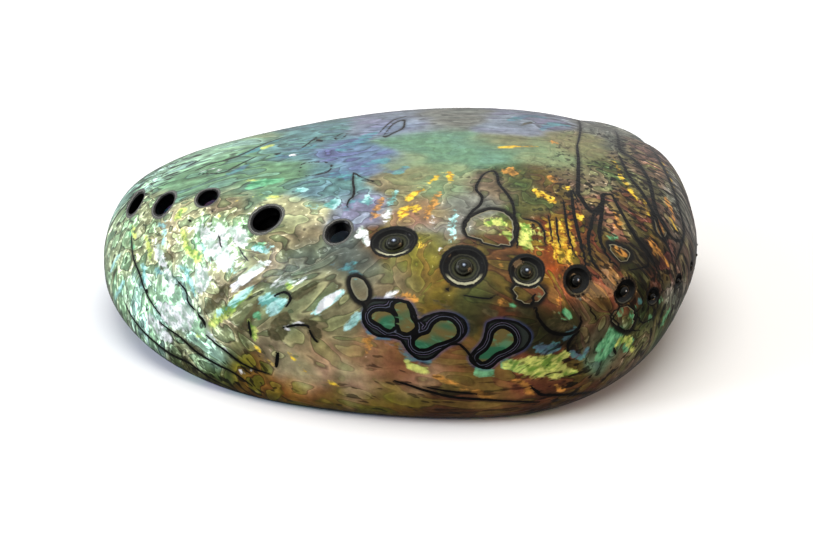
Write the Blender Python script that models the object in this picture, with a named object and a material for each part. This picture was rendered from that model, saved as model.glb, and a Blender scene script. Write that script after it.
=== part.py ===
"""A polished abalone shell, lying mouth down: one thin, ear-shaped dome grown as a single piece.

-X is the front, where the shell grows. -Y is its left margin, with the row of pores above it.
+Z is the back of the shell. The spire lies low at the rear, on the right (+X, +Y).
"""

import bpy
import bmesh
import numpy as np
from mathutils import Matrix, Vector

# Driving dimensions, in metres.
HALF_LENGTH = 0.075
HALF_WIDTH = 0.0565
HEIGHT = 0.048
WALL = 0.0024
LIP = 0.0019
SHELF = 0.0090

# The origin is under the middle of the whole shell, this far from the middle of the rim.
MIDDLE = (0.0007, -0.0009, 0.0)

# The summit, measured from the middle of the rim.
SUMMIT_X = 0.015
SUMMIT_Y = 0.001
SUMMIT_BASE = 0.014

# How the side walls stand, each as front, left, rear and right.
# Fullness squares the shoulder, tuck is how far the wall turns back under itself in degrees,
# and belly is how high above the rim the wall is widest.
FULLNESS = (0.15, 0.31, 0.33, 0.15)
TUCK = (4.0, 28.0, 22.0, 4.0)
BELLY = (0.004, 0.010, 0.008, 0.002)

# The outline seen from above: an ellipse, broader behind, with slightly full corners.
BROAD_REAR = 0.155
FULL_CORNERS = 0.04
UNEVEN_SIDES = 0.022

# The rim is flat on both sides over this part of the half length, and rises towards both ends.
LAND = 0.35
RIM_RISE_FRONT = 0.009
RIM_RISE_REAR = 0.010
RISE_POWER_FRONT = 2.4
RISE_POWER_REAR = 1.9
# At the front right the rim arches up, about this heading in degrees.
ARCH_HEIGHT = 0.006
ARCH_HEADING = 150.0
ARCH_WIDTH = 20.0

# Low swells and hollows of the back: place on the unit disc, spread, height.
SWELLS = (
    (-0.35, 0.10, 0.30, -0.0026),
    (-0.50, -0.62, 0.28, -0.0018),
    (-0.62, -0.10, 0.25, 0.0008),
    (0.62, -0.20, 0.25, 0.0008),
)

# The shell grows as a logarithmic spiral about the spire's tip. A place on the back is a point of
# the unit disc, with the rim as its circle. GROWTH is the gain in size for each radian turned.
SPIRE = (0.48, 0.31)
GROWTH = 0.42
DISC_TO_METRES = 0.060
RIDGE_STEP = 0.105
RIDGE_HEIGHT = 0.00035
SUTURE_START = 50.0
SUTURE_RADIUS = 0.42
SUTURE_DEPTH = 0.0019
SPIRE_LIFT = 0.0022
SPIRE_SPREAD = 0.20

# The pores stand on a low ridge that winds back to the spire.
ROW_RIDGE_HEIGHT = 0.0009
ROW_RIDGE_WIDTH = 0.007

# Each pore: place on the unit disc, length, width, and the heading of its length in degrees.
OPEN_PORES = (
    (-0.661, -0.009, 0.0106, 0.0058, 76.0),
    (-0.554, -0.128, 0.0096, 0.0066, 71.0),
    (-0.425, -0.174, 0.0078, 0.0066, 100.0),
    (-0.273, -0.310, 0.0096, 0.0086, 60.0),
    (-0.133, -0.373, 0.0080, 0.0068, 60.0),
)
SEALED_PORES = (
    (-0.033, -0.406, 0.0100, 0.0082, 10.0),
    (0.099, -0.463, 0.0100, 0.0100, 90.0),
    (0.215, -0.451, 0.0080, 0.0076, 60.0),
    (0.325, -0.451, 0.0072, 0.0062, 90.0),
    (0.462, -0.445, 0.0068, 0.0052, 90.0),
    (0.573, -0.424, 0.0044, 0.0040, 90.0),
)
# Behind these the row runs on round the rear, ever smaller and closer to the spire.
WORN_PORES = 9
WORN_STEP = 10.0
WORN_GROWTH = 0.60
WORN_SIZE = 0.0042

HOLE_SHARE = 0.74
HOLE_SHIFT = 0.12
PIT_DEPTH = 0.0011
BEAD_SHARE = 0.52
BEAD_RISE = 0.0004

SPOKES = 64
OUTER_RINGS = 28
INNER_RINGS = 13

SHELL_COLOUR = (0.16, 0.21, 0.17, 1.0)
SHELL_ROUGHNESS = 0.12
SHELL_METALLIC = 0.4


def smooth(x):
    """Goes from 0 to 1 as x does, level at both ends."""
    x = np.clip(x, 0.0, 1.0)
    return x * x * (3.0 - 2.0 * x)


def round_the_rim(cos, sin, front, left, rear, right):
    """A value that passes smoothly from one side of the shell to the next."""
    return np.where(cos < 0, front, rear) * cos**2 + np.where(sin < 0, left, right) * sin**2


def rim_height(cos, sin):
    """The height of the rim's edge in a direction from the middle."""
    past_land = np.maximum(np.abs(cos) - LAND, 0.0) / (1.0 - LAND)
    front = RIM_RISE_FRONT * past_land**RISE_POWER_FRONT
    rear = RIM_RISE_REAR * past_land**RISE_POWER_REAR
    heading = np.degrees(np.arctan2(sin, cos))
    arch = ARCH_HEIGHT * np.exp(-(((heading - ARCH_HEADING) / ARCH_WIDTH) ** 2))
    return np.where(cos < 0, front, rear) + arch * smooth(past_land / 0.3)


def dome(disc):
    """The smooth outside of the shell at points of the unit disc."""
    x, y = disc[..., 0], disc[..., 1]
    reach = np.hypot(x, y) + 1e-12
    cos, sin = x / reach, y / reach
    sides = smooth(reach / 0.6)

    def blend(values):
        mean = sum(values) / 4.0
        return mean + (round_the_rim(cos, sin, *values) - mean) * sides

    swell = 1.0 + (UNEVEN_SIDES * (3.0 * sin - 4.0 * sin**3) + FULL_CORNERS * 4.0 * (cos * sin) ** 2) * sides
    rim_x = HALF_LENGTH * cos * swell
    rim_y = HALF_WIDTH * sin * (1.0 + BROAD_REAR * cos * sides) * swell
    tuck = np.radians(blend(TUCK))
    angle = reach * (np.pi / 2.0 + tuck * reach**2)
    out = np.sin(angle) * (1.0 + blend(FULLNESS) * np.cos(angle) ** 2)
    belly = round_the_rim(cos, sin, *BELLY)
    widest = rim_height(cos, sin) + belly
    base = SUMMIT_BASE + (widest - SUMMIT_BASE) * sides
    above = base + (HEIGHT - base) * np.cos(angle)
    below = widest + belly / np.sin(tuck) * np.cos(angle)
    point = np.stack(
        [
            SUMMIT_X + out * (rim_x - SUMMIT_X),
            SUMMIT_Y + out * (rim_y - SUMMIT_Y),
            np.where(angle <= np.pi / 2.0, above, below),
        ],
        axis=-1,
    )
    away = point * (0.55, 1.0, 1.1) - (0.0, 0.0, 0.009)
    away /= np.linalg.norm(away, axis=-1, keepdims=True) + 1e-9
    height = 0.0
    for place_x, place_y, spread, rise in SWELLS:
        height = height + rise * np.exp(-((x - place_x) ** 2 + (y - place_y) ** 2) / (2.0 * spread**2))
    return point + away * (height * smooth((1.0 - reach) / 0.15))[..., None] - MIDDLE


def outward(disc):
    """The unit normal of the smooth outside."""
    step = 1e-3
    along_x = dome(disc + (step, 0.0)) - dome(disc - (step, 0.0))
    along_y = dome(disc + (0.0, step)) - dome(disc - (0.0, step))
    normal = np.cross(along_x, along_y)
    return normal / np.linalg.norm(normal, axis=-1, keepdims=True)


def growth_age(disc):
    """How far back, in radians of growth, a place of the back was the rim."""
    step = 0.05
    offset = disc - SPIRE
    age = np.full(disc.shape[:-1], 8.0)
    waiting = np.ones(age.shape, dtype=bool)
    last = np.sum(disc**2, axis=-1) - 1.0
    for turn in np.arange(step, 8.0, step):
        cos, sin = np.cos(turn), np.sin(turn)
        turned_x = offset[..., 0] * cos + offset[..., 1] * sin
        turned_y = offset[..., 1] * cos - offset[..., 0] * sin
        size = np.exp(GROWTH * turn)
        now = (SPIRE[0] + size * turned_x) ** 2 + (SPIRE[1] + size * turned_y) ** 2 - 1.0
        crossed = waiting & (now > 0.0)
        share = last / np.where(crossed, last - now, 1.0)
        age = np.where(crossed, turn - step + step * np.clip(share, 0.0, 1.0), age)
        waiting &= ~crossed
        last = now
    return age


def from_spire(place):
    """The heading, in degrees from 150 to 510, and the distance of a pore from the spire's tip."""
    x, y = place[0] - SPIRE[0], place[1] - SPIRE[1]
    return (np.degrees(np.arctan2(y, x)) - 150.0) % 360.0 + 150.0, np.hypot(x, y)


def worn_pores():
    """The oldest pores, on a spiral round the rear of the shell."""
    first_heading, first_radius = from_spire(SEALED_PORES[-1])
    pores = []
    for index in range(1, WORN_PORES + 1):
        heading = first_heading + WORN_STEP * index
        shrink = np.exp(-WORN_GROWTH * np.radians(WORN_STEP * index))
        x = SPIRE[0] + first_radius * shrink * np.cos(np.radians(heading))
        y = SPIRE[1] + first_radius * shrink * np.sin(np.radians(heading))
        pores.append((x, y, WORN_SIZE * shrink, 0.85 * WORN_SIZE * shrink, heading))
    return pores


def row_line():
    """The headings and distances from the spire's tip of all the pores, front to rear."""
    line = [from_spire(pore) for pore in [*OPEN_PORES, *SEALED_PORES, *worn_pores()]]
    return np.array(line).T


def relief(disc):
    """Growth ridges, the ridge under the pores and the spire's whorls, as a height over the dome."""
    x, y = disc[..., 0] - SPIRE[0], disc[..., 1] - SPIRE[1]
    radius = np.hypot(x, y) + 1e-6
    heading = np.degrees(np.arctan2(y, x))
    edge = smooth((1.0 - np.hypot(disc[..., 0], disc[..., 1])) / 0.08)

    wave = np.sin(2.0 * np.pi * growth_age(disc) / RIDGE_STEP)
    ridges = RIDGE_HEIGHT * wave * smooth(radius / 0.9)

    row_headings, row_radii = row_line()
    along_row = (heading - 150.0) % 360.0 + 150.0
    off_row = DISC_TO_METRES * (radius - np.interp(along_row, row_headings, row_radii))
    fade = smooth((450.0 - along_row) / 150.0) * smooth((along_row - 170.0) / 25.0)
    row = ROW_RIDGE_HEIGHT * np.exp(-((off_row / ROW_RIDGE_WIDTH) ** 2)) * fade

    turned = np.radians((heading - SUTURE_START) % 360.0)
    whorl = -(np.log(radius / SUTURE_RADIUS) + GROWTH * turned) / (2.0 * np.pi * GROWTH)
    turn = np.maximum(np.round(whorl), 0.0)
    from_suture = np.clip(whorl - turn, -0.5, 0.5)
    wound = turned + 2.0 * np.pi * turn
    depth = SUTURE_DEPTH * smooth(wound / 0.6) * smooth(radius / 0.14)
    suture = -depth * np.exp(-((from_suture / 0.16) ** 2))
    spire = SPIRE_LIFT * np.exp(-((radius / SPIRE_SPREAD) ** 2))
    return (ridges + row + suture + spire) * edge


def outside(disc):
    """The shell's back with its relief."""
    return dome(disc) + outward(disc) * relief(disc)[..., None]


def inside(disc):
    """The hollow side: an even wall that thickens to a flat shelf along the left margin."""
    reach = np.hypot(disc[..., 0], disc[..., 1]) + 1e-12
    cos, sin = disc[..., 0] / reach, disc[..., 1] / reach
    on_left = smooth(-sin / 0.8)
    edge_width = LIP + (SHELF - LIP) * on_left
    thickness = WALL + (edge_width - WALL) * smooth((reach - 0.78) / 0.22)
    normal = outward(disc)
    level = normal * (1.0, 1.0, 0.0)
    level /= np.linalg.norm(level, axis=-1, keepdims=True) + 1e-9
    to_level = smooth((reach - 0.86) / 0.14)[..., None]
    way_in = -(normal * (1.0 - to_level) + level * to_level)
    way_in /= np.linalg.norm(way_in, axis=-1, keepdims=True)
    return dome(disc) + way_in * thickness[..., None]


def disc_rings(rings):
    """Rings of places round the spire's tip, closer together near it, the last one on the rim."""
    share = (np.arange(1, rings + 1) / rings) ** 1.25
    turn = 2.0 * np.pi * np.arange(SPOKES) / SPOKES
    circle = np.stack([np.cos(turn), np.sin(turn)], axis=-1)
    share = share[:, None, None]
    return np.array(SPIRE) * (1.0 - share) + circle * share


def add_skin(bm, surface, rings, flipped):
    """Adds one side of the shell to bm and returns the vertices of its last ring."""
    tip = bm.verts.new(surface(np.array(SPIRE)))
    last = None
    for ring in surface(disc_rings(rings)):
        verts = [bm.verts.new(point) for point in ring]
        for i in range(SPOKES):
            j = (i + 1) % SPOKES
            corners = [tip, verts[i], verts[j]] if last is None else [last[i], verts[i], verts[j], last[j]]
            bm.faces.new(corners[::-1] if flipped else corners)
        last = verts
    return last


def add_object(name, bm):
    mesh = bpy.data.meshes.new(name)
    bm.to_mesh(mesh)
    bm.free()
    made = bpy.data.objects.new(name, mesh)
    bpy.context.collection.objects.link(made)
    return made


def make_wall():
    """The closed wall of the shell, before its pores."""
    bm = bmesh.new()
    outer = add_skin(bm, outside, OUTER_RINGS, False)
    inner = add_skin(bm, inside, INNER_RINGS, True)
    for i in range(SPOKES):
        j = (i + 1) % SPOKES
        bm.faces.new([outer[i], inner[i], inner[j], outer[j]])
    return add_object("shell", bm)


def pore_frame(pore, lift):
    """A frame at a pore: X along its length, Z out of the shell, raised by lift."""
    place = np.array(pore[:2])
    up = Vector(outward(place))
    heading = np.radians(pore[4])
    along = Vector((np.cos(heading), np.sin(heading), 0.0))
    along = (along - up * along.dot(up)).normalized()
    turned = Matrix((along, up.cross(along), up)).transposed()
    middle = Vector(outside(place)) + up * lift
    return Matrix.Translation(middle) @ turned.to_4x4()


def make_tool(name, shapes):
    """A hidden mesh for a Boolean, of ellipsoids or of drills that narrow inwards."""
    bm = bmesh.new()
    for kind, frame, size in shapes:
        fit = frame @ Matrix.Diagonal((*size, 1.0))
        if kind == "ball":
            bmesh.ops.create_uvsphere(bm, u_segments=14, v_segments=6, radius=1.0, matrix=fit)
        else:
            bmesh.ops.create_cone(bm, cap_ends=True, segments=18, radius1=0.86, radius2=1.14, depth=2.0, matrix=fit)
    tool = add_object(name, bm)
    tool.hide_render = True
    tool.display_type = "WIRE"
    return tool


def add_boolean(target, tool, operation):
    modifier = target.modifiers.new(tool.name, "BOOLEAN")
    modifier.operation = operation
    modifier.solver = "EXACT"
    modifier.object = tool


def shell_material():
    material = bpy.data.materials.new("polished_shell")
    material.use_nodes = True
    surface = material.node_tree.nodes["Principled BSDF"]
    surface.inputs["Base Color"].default_value = SHELL_COLOUR
    surface.inputs["Roughness"].default_value = SHELL_ROUGHNESS
    surface.inputs["Metallic"].default_value = SHELL_METALLIC
    return material


def make_shell():
    shell = make_wall()
    closed = [*SEALED_PORES, *worn_pores()]
    pits = []
    beads = []
    holes = []
    for pore in [*OPEN_PORES, *closed]:
        half = (pore[2] / 2.0, pore[3] / 2.0)
        depth = min(PIT_DEPTH, 0.3 * pore[3])
        pits.append(("ball", pore_frame(pore, 0.0), (*half, depth)))
    for pore in closed:
        depth = min(PIT_DEPTH, 0.3 * pore[3])
        radii = (BEAD_SHARE * pore[2] / 2.0, BEAD_SHARE * pore[3] / 2.0, depth + BEAD_RISE)
        beads.append(("ball", pore_frame(pore, -depth), radii))
    for pore in OPEN_PORES:
        radii = (HOLE_SHARE * pore[2] / 2.0, HOLE_SHARE * pore[3] / 2.0, 2.0 * WALL)
        forward = Matrix.Translation((HOLE_SHIFT * pore[2], 0.0, 0.0))
        holes.append(("drill", pore_frame(pore, 0.0) @ forward, radii))
    add_boolean(shell, make_tool("pore_pits", pits), "DIFFERENCE")
    add_boolean(shell, make_tool("pore_beads", beads), "UNION")
    add_boolean(shell, make_tool("pore_holes", holes), "DIFFERENCE")
    shell.data.materials.append(shell_material())
    shell.data.shade_smooth()


for old in list(bpy.data.objects):
    bpy.data.objects.remove(old)
make_shell()
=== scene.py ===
from functools import partial

import bpy
import numpy as np
from mathutils import Matrix, Vector
from mathutils.kdtree import KDTree


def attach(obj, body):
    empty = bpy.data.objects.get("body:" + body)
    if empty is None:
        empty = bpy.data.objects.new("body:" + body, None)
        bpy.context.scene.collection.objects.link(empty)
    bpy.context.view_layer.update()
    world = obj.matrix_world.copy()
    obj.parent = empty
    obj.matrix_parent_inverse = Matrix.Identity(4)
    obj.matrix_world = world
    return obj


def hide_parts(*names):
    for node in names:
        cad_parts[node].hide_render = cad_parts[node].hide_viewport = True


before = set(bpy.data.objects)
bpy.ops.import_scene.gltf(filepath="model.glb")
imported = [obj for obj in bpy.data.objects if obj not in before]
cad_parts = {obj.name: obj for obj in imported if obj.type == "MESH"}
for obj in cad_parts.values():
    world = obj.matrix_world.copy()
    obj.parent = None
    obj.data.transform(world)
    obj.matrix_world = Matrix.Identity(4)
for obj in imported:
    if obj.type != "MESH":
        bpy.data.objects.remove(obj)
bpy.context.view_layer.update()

# The camera
# A long lens a little above the shell, square to its left side, as the photograph was taken.
# The markings below are given by pixels of its frame, so the camera comes first.
LENS = 104.4
VIEW_ELEVATION = 28.0
VIEW_DISTANCE = 0.600
VIEW_TARGET = Vector((0.0017, -0.0029, 0.01285))
FRAME_WIDTH = 813.0
FRAME_HEIGHT = 540.0
camera_data = bpy.data.cameras.new("camera")
camera_data.lens = LENS
camera_data.clip_end = 20.0
camera = bpy.data.objects.new("camera", camera_data)
bpy.context.collection.objects.link(camera)
tilt = np.radians(VIEW_ELEVATION)
view_back = Vector((0.0, -np.cos(tilt), np.sin(tilt)))
camera.location = VIEW_TARGET + view_back * VIEW_DISTANCE
camera.rotation_euler = (-view_back).to_track_quat("-Z", "Y").to_euler()
bpy.context.scene.camera = camera
pixel_focus = LENS / camera_data.sensor_width * FRAME_WIDTH
view_axes = np.array([(1.0, 0.0, 0.0), (0.0, np.sin(tilt), np.cos(tilt)), tuple(view_back)])


def to_pixels(points):
    """Where points of the scene show in the photograph's frame."""
    seen = (points - np.array(camera.location)) @ view_axes.T
    right = FRAME_WIDTH / 2.0 + pixel_focus * seen[..., 0] / -seen[..., 2]
    down = FRAME_HEIGHT / 2.0 - pixel_focus * seen[..., 1] / -seen[..., 2]
    return np.stack([right, down], axis=-1)


# The shell
# One thin dome of nacre that an abalone grew as a spiral, later ground, polished and lacquered.
# The grown form is worked out here, a Geometry Nodes tree raises the growth ridges, the whorls and
# the ridge under the pores, and a second tree sinks the pores into it.
HALF_LENGTH = 0.075
HALF_WIDTH = 0.0565
HEIGHT = 0.048
WALL = 0.0024
LIP = 0.0019
SHELF = 0.0090
MIDDLE = (0.0007, -0.0009, 0.0)
SUMMIT_X = 0.015
SUMMIT_Y = 0.001
SUMMIT_BASE = 0.014
# Front, left, rear and right of the side walls: how full the shoulder is, how far the wall turns
# back under itself in degrees, and how high above the rim it is widest.
FULLNESS = (0.15, 0.31, 0.33, 0.15)
TUCK = (4.0, 28.0, 22.0, 4.0)
BELLY = (0.004, 0.010, 0.008, 0.002)
BROAD_REAR = 0.155
FULL_CORNERS = 0.04
UNEVEN_SIDES = 0.022
LAND = 0.35
RIM_RISE_FRONT = 0.009
RIM_RISE_REAR = 0.010
RISE_POWER_FRONT = 2.4
RISE_POWER_REAR = 1.9
ARCH_HEIGHT = 0.006
ARCH_HEADING = 150.0
ARCH_WIDTH = 20.0
SWELLS = (
    (-0.35, 0.10, 0.30, -0.0026),
    (-0.50, -0.62, 0.28, -0.0018),
    (-0.62, -0.10, 0.25, 0.0008),
    (0.62, -0.20, 0.25, 0.0008),
)


def smooth(x):
    """Goes from 0 to 1 as x does, level at both ends."""
    x = np.clip(x, 0.0, 1.0)
    return x * x * (3.0 - 2.0 * x)


def round_the_rim(cos, sin, front, left, rear, right):
    """A value that passes smoothly from one side of the shell to the next."""
    return np.where(cos < 0, front, rear) * cos**2 + np.where(sin < 0, left, right) * sin**2


def rim_height(cos, sin):
    """The height of the rim's edge in a direction from the middle."""
    past_land = np.maximum(np.abs(cos) - LAND, 0.0) / (1.0 - LAND)
    front = RIM_RISE_FRONT * past_land**RISE_POWER_FRONT
    rear = RIM_RISE_REAR * past_land**RISE_POWER_REAR
    heading = np.degrees(np.arctan2(sin, cos))
    arch = ARCH_HEIGHT * np.exp(-(((heading - ARCH_HEADING) / ARCH_WIDTH) ** 2))
    return np.where(cos < 0, front, rear) + arch * smooth(past_land / 0.3)


def dome(disc):
    """The smooth outside of the shell at points of the unit disc, whose circle is the rim."""
    x, y = disc[..., 0], disc[..., 1]
    reach = np.hypot(x, y) + 1e-12
    cos, sin = x / reach, y / reach
    sides = smooth(reach / 0.6)

    def blend(values):
        mean = sum(values) / 4.0
        return mean + (round_the_rim(cos, sin, *values) - mean) * sides

    swell = 1.0 + (UNEVEN_SIDES * (3.0 * sin - 4.0 * sin**3) + FULL_CORNERS * 4.0 * (cos * sin) ** 2) * sides
    rim_x = HALF_LENGTH * cos * swell
    rim_y = HALF_WIDTH * sin * (1.0 + BROAD_REAR * cos * sides) * swell
    tuck = np.radians(blend(TUCK))
    angle = reach * (np.pi / 2.0 + tuck * reach**2)
    out = np.sin(angle) * (1.0 + blend(FULLNESS) * np.cos(angle) ** 2)
    belly = round_the_rim(cos, sin, *BELLY)
    widest = rim_height(cos, sin) + belly
    base = SUMMIT_BASE + (widest - SUMMIT_BASE) * sides
    above = base + (HEIGHT - base) * np.cos(angle)
    below = widest + belly / np.sin(tuck) * np.cos(angle)
    point = np.stack(
        [
            SUMMIT_X + out * (rim_x - SUMMIT_X),
            SUMMIT_Y + out * (rim_y - SUMMIT_Y),
            np.where(angle <= np.pi / 2.0, above, below),
        ],
        axis=-1,
    )
    away = point * (0.55, 1.0, 1.1) - (0.0, 0.0, 0.009)
    away /= np.linalg.norm(away, axis=-1, keepdims=True) + 1e-9
    height = 0.0
    for place_x, place_y, spread, rise in SWELLS:
        height = height + rise * np.exp(-((x - place_x) ** 2 + (y - place_y) ** 2) / (2.0 * spread**2))
    return point + away * (height * smooth((1.0 - reach) / 0.15))[..., None] - MIDDLE


def outward(disc):
    """The unit normal of the smooth outside."""
    step = 1e-3
    along_x = dome(disc + (step, 0.0)) - dome(disc - (step, 0.0))
    along_y = dome(disc + (0.0, step)) - dome(disc - (0.0, step))
    normal = np.cross(along_x, along_y)
    return normal / np.linalg.norm(normal, axis=-1, keepdims=True)


def inside(disc):
    """The hollow side: an even wall that thickens to a flat shelf along the left margin."""
    reach = np.hypot(disc[..., 0], disc[..., 1]) + 1e-12
    cos, sin = disc[..., 0] / reach, disc[..., 1] / reach
    on_left = smooth(-sin / 0.8)
    edge_width = LIP + (SHELF - LIP) * on_left
    thickness = WALL + (edge_width - WALL) * smooth((reach - 0.78) / 0.22)
    normal = outward(disc)
    level = normal * (1.0, 1.0, 0.0)
    level /= np.linalg.norm(level, axis=-1, keepdims=True) + 1e-9
    to_level = smooth((reach - 0.86) / 0.14)[..., None]
    way_in = -(normal * (1.0 - to_level) + level * to_level)
    way_in /= np.linalg.norm(way_in, axis=-1, keepdims=True)
    return dome(disc) + way_in * thickness[..., None]


# How the shell grew: a logarithmic spiral about the spire's tip, as places on the same disc.
SPIRE = (0.48, 0.31)
GROWTH = 0.42
DISC_TO_METRES = 0.060
SUTURE_START = 50.0
SUTURE_RADIUS = 0.42


def growth_age(disc):
    """How far back, in radians of growth, a place of the back was the rim."""
    step = 0.02
    offset = disc - SPIRE
    age = np.full(disc.shape[:-1], 8.0)
    waiting = np.ones(age.shape, dtype=bool)
    last = np.sum(disc**2, axis=-1) - 1.0
    for turn in np.arange(step, 8.0, step):
        cos, sin = np.cos(turn), np.sin(turn)
        turned_x = offset[..., 0] * cos + offset[..., 1] * sin
        turned_y = offset[..., 1] * cos - offset[..., 0] * sin
        size = np.exp(GROWTH * turn)
        now = (SPIRE[0] + size * turned_x) ** 2 + (SPIRE[1] + size * turned_y) ** 2 - 1.0
        crossed = waiting & (now > 0.0)
        share = last / np.where(crossed, last - now, 1.0)
        age = np.where(crossed, turn - step + step * np.clip(share, 0.0, 1.0), age)
        waiting &= ~crossed
        last = now
    return age


# Each pore: place on the unit disc, length, width, and the heading of its length in degrees.
OPEN_PORES = (
    (-0.661, -0.009, 0.0106, 0.0058, 76.0),
    (-0.554, -0.128, 0.0096, 0.0066, 71.0),
    (-0.425, -0.174, 0.0078, 0.0066, 100.0),
    (-0.273, -0.310, 0.0096, 0.0086, 60.0),
    (-0.133, -0.373, 0.0080, 0.0068, 60.0),
)
SEALED_PORES = (
    (-0.033, -0.406, 0.0100, 0.0082, 10.0),
    (0.099, -0.463, 0.0100, 0.0100, 90.0),
    (0.215, -0.451, 0.0080, 0.0076, 60.0),
    (0.325, -0.451, 0.0072, 0.0062, 90.0),
    (0.462, -0.445, 0.0068, 0.0052, 90.0),
    (0.573, -0.424, 0.0044, 0.0040, 90.0),
)
WORN_PORES = 9
WORN_STEP = 10.0
WORN_GROWTH = 0.60
WORN_SIZE = 0.0042


def from_spire(place):
    """The heading, in degrees from 150 to 510, and the distance of a pore from the spire's tip."""
    x, y = place[0] - SPIRE[0], place[1] - SPIRE[1]
    return (np.degrees(np.arctan2(y, x)) - 150.0) % 360.0 + 150.0, np.hypot(x, y)


def worn_pores():
    """The oldest pores, on a spiral round the rear of the shell."""
    first_heading, first_radius = from_spire(SEALED_PORES[-1])
    pores = []
    for index in range(1, WORN_PORES + 1):
        heading = first_heading + WORN_STEP * index
        shrink = np.exp(-WORN_GROWTH * np.radians(WORN_STEP * index))
        x = SPIRE[0] + first_radius * shrink * np.cos(np.radians(heading))
        y = SPIRE[1] + first_radius * shrink * np.sin(np.radians(heading))
        pores.append((x, y, WORN_SIZE * shrink, 0.85 * WORN_SIZE * shrink, heading))
    return pores


sealed_pores = [*SEALED_PORES, *worn_pores()]
all_pores = [*OPEN_PORES, *sealed_pores]
row_headings, row_radii = np.array([from_spire(pore) for pore in all_pores]).T


def growth_fields(disc):
    """The smooth measures of growth that the relief and the colours follow, at places on the disc."""
    x, y = disc[..., 0] - SPIRE[0], disc[..., 1] - SPIRE[1]
    radius = np.hypot(x, y) + 1e-6
    heading = np.degrees(np.arctan2(y, x))
    along_row = (heading - 150.0) % 360.0 + 150.0
    off_row = DISC_TO_METRES * (radius - np.interp(along_row, row_headings, row_radii))
    row_there = smooth((450.0 - along_row) / 150.0) * smooth((along_row - 170.0) / 25.0)
    turned = np.radians((heading - SUTURE_START) % 360.0)
    whorl = -(np.log(radius / SUTURE_RADIUS) + GROWTH * turned) / (2.0 * np.pi * GROWTH)
    turn = np.maximum(np.round(whorl), 0.0)
    from_suture = np.clip(whorl - turn, -0.5, 0.5)
    suture_there = smooth((turned + 2.0 * np.pi * turn) / 0.6) * smooth(radius / 0.14)
    return {
        "growth": growth_age(disc),
        "off_row": off_row,
        "row_there": row_there,
        "from_suture": from_suture,
        "suture_there": suture_there,
        "spire_radius": radius,
        "edge": smooth((1.0 - np.hypot(disc[..., 0], disc[..., 1])) / 0.08),
    }


# The skin's mesh: rings of places round the spire's tip, closer together near it. The outside runs
# down to the rim, six narrow rings turn round the edge, and the inside runs back up.
SPOKES = 390
OUTER_RINGS = 188
INNER_RINGS = 40
RING_CROWDING = 1.25
EDGE_ROUND = 0.0005


def disc_rings(rings):
    """Places on the disc, in rings that grow from the spire's tip to the rim."""
    share = (np.arange(1, rings + 1) / rings) ** RING_CROWDING
    turn = 2.0 * np.pi * np.arange(SPOKES) / SPOKES
    circle = np.stack([np.cos(turn), np.sin(turn)], axis=-1)
    share = share[:, None, None]
    return np.array(SPIRE) * (1.0 - share) + circle * share


def ring_faces(first, rings):
    """Quads between rings of vertices that start at index first."""
    start = first + SPOKES * np.arange(rings - 1)[:, None]
    here = np.arange(SPOKES)[None, :]
    ahead = (here + 1) % SPOKES
    corners = [start + here, start + SPOKES + here, start + SPOKES + ahead, start + ahead]
    return np.stack(corners, axis=-1).reshape(-1, 4)


def add_field(mesh, name, values):
    """Writes one number or one vector for each vertex as a named attribute."""
    values = np.ascontiguousarray(values, dtype=np.float32)
    kind, slot = ("FLOAT", "value") if values.ndim == 1 else ("FLOAT_VECTOR", "vector")
    mesh.attributes.new(name, kind, "POINT").data.foreach_set(slot, values.ravel())


tip = np.array(SPIRE)
outer_disc = disc_rings(OUTER_RINGS)
inner_disc = disc_rings(INNER_RINGS)
outer_points = dome(outer_disc)
inner_points = inside(inner_disc)
rim_outer = outer_points[-1]
rim_inner = inner_points[-1]
across = rim_inner - rim_outer
across /= np.linalg.norm(across, axis=-1, keepdims=True)
lift = np.array((0.0, 0.0, EDGE_ROUND))
skin_points = np.concatenate(
    [
        dome(tip)[None],
        outer_points[:-1].reshape(-1, 3),
        rim_outer + lift,
        rim_outer + across * 0.3 * EDGE_ROUND + 0.3 * lift,
        rim_outer + across * EDGE_ROUND,
        rim_inner - across * EDGE_ROUND,
        rim_inner - across * 0.3 * EDGE_ROUND + 0.3 * lift,
        rim_inner + lift,
        inner_points[:-1][::-1].reshape(-1, 3),
        inside(tip)[None],
    ]
)
rim_disc = np.repeat(outer_disc[-1][None], 6, axis=0)
skin_disc = np.concatenate(
    [
        tip[None],
        outer_disc[:-1].reshape(-1, 2),
        rim_disc.reshape(-1, 2),
        inner_disc[:-1][::-1].reshape(-1, 2),
        tip[None],
    ]
)
rows = OUTER_RINGS - 1 + 6 + INNER_RINGS - 1
last_row = 1 + SPOKES * (rows - 1)
fan = np.arange(SPOKES)
fan_next = (fan + 1) % SPOKES
top_fan = np.stack([np.zeros(SPOKES, int), 1 + fan, 1 + fan_next], axis=-1)
bottom_fan = np.stack([np.full(SPOKES, len(skin_points) - 1), last_row + fan_next, last_row + fan], axis=-1)
skin_faces = [*top_fan.tolist(), *ring_faces(1, rows).tolist(), *bottom_fan.tolist()]
skin_mesh = bpy.data.meshes.new("abalone_shell")
skin_mesh.from_pydata(skin_points.tolist(), [], skin_faces)
outside_count = 1 + SPOKES * (OUTER_RINGS - 1)
on_outside = np.arange(len(skin_points)) < outside_count
for field, values in growth_fields(skin_disc).items():
    add_field(skin_mesh, field, values * on_outside if field == "edge" else values)
add_field(skin_mesh, "outward", outward(skin_disc))
skin = bpy.data.objects.new("abalone_shell", skin_mesh)
bpy.context.collection.objects.link(skin)
nacre = bpy.data.materials.new("polished_paua_nacre")
inner_nacre = bpy.data.materials.new("natural_inner_nacre")


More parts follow.
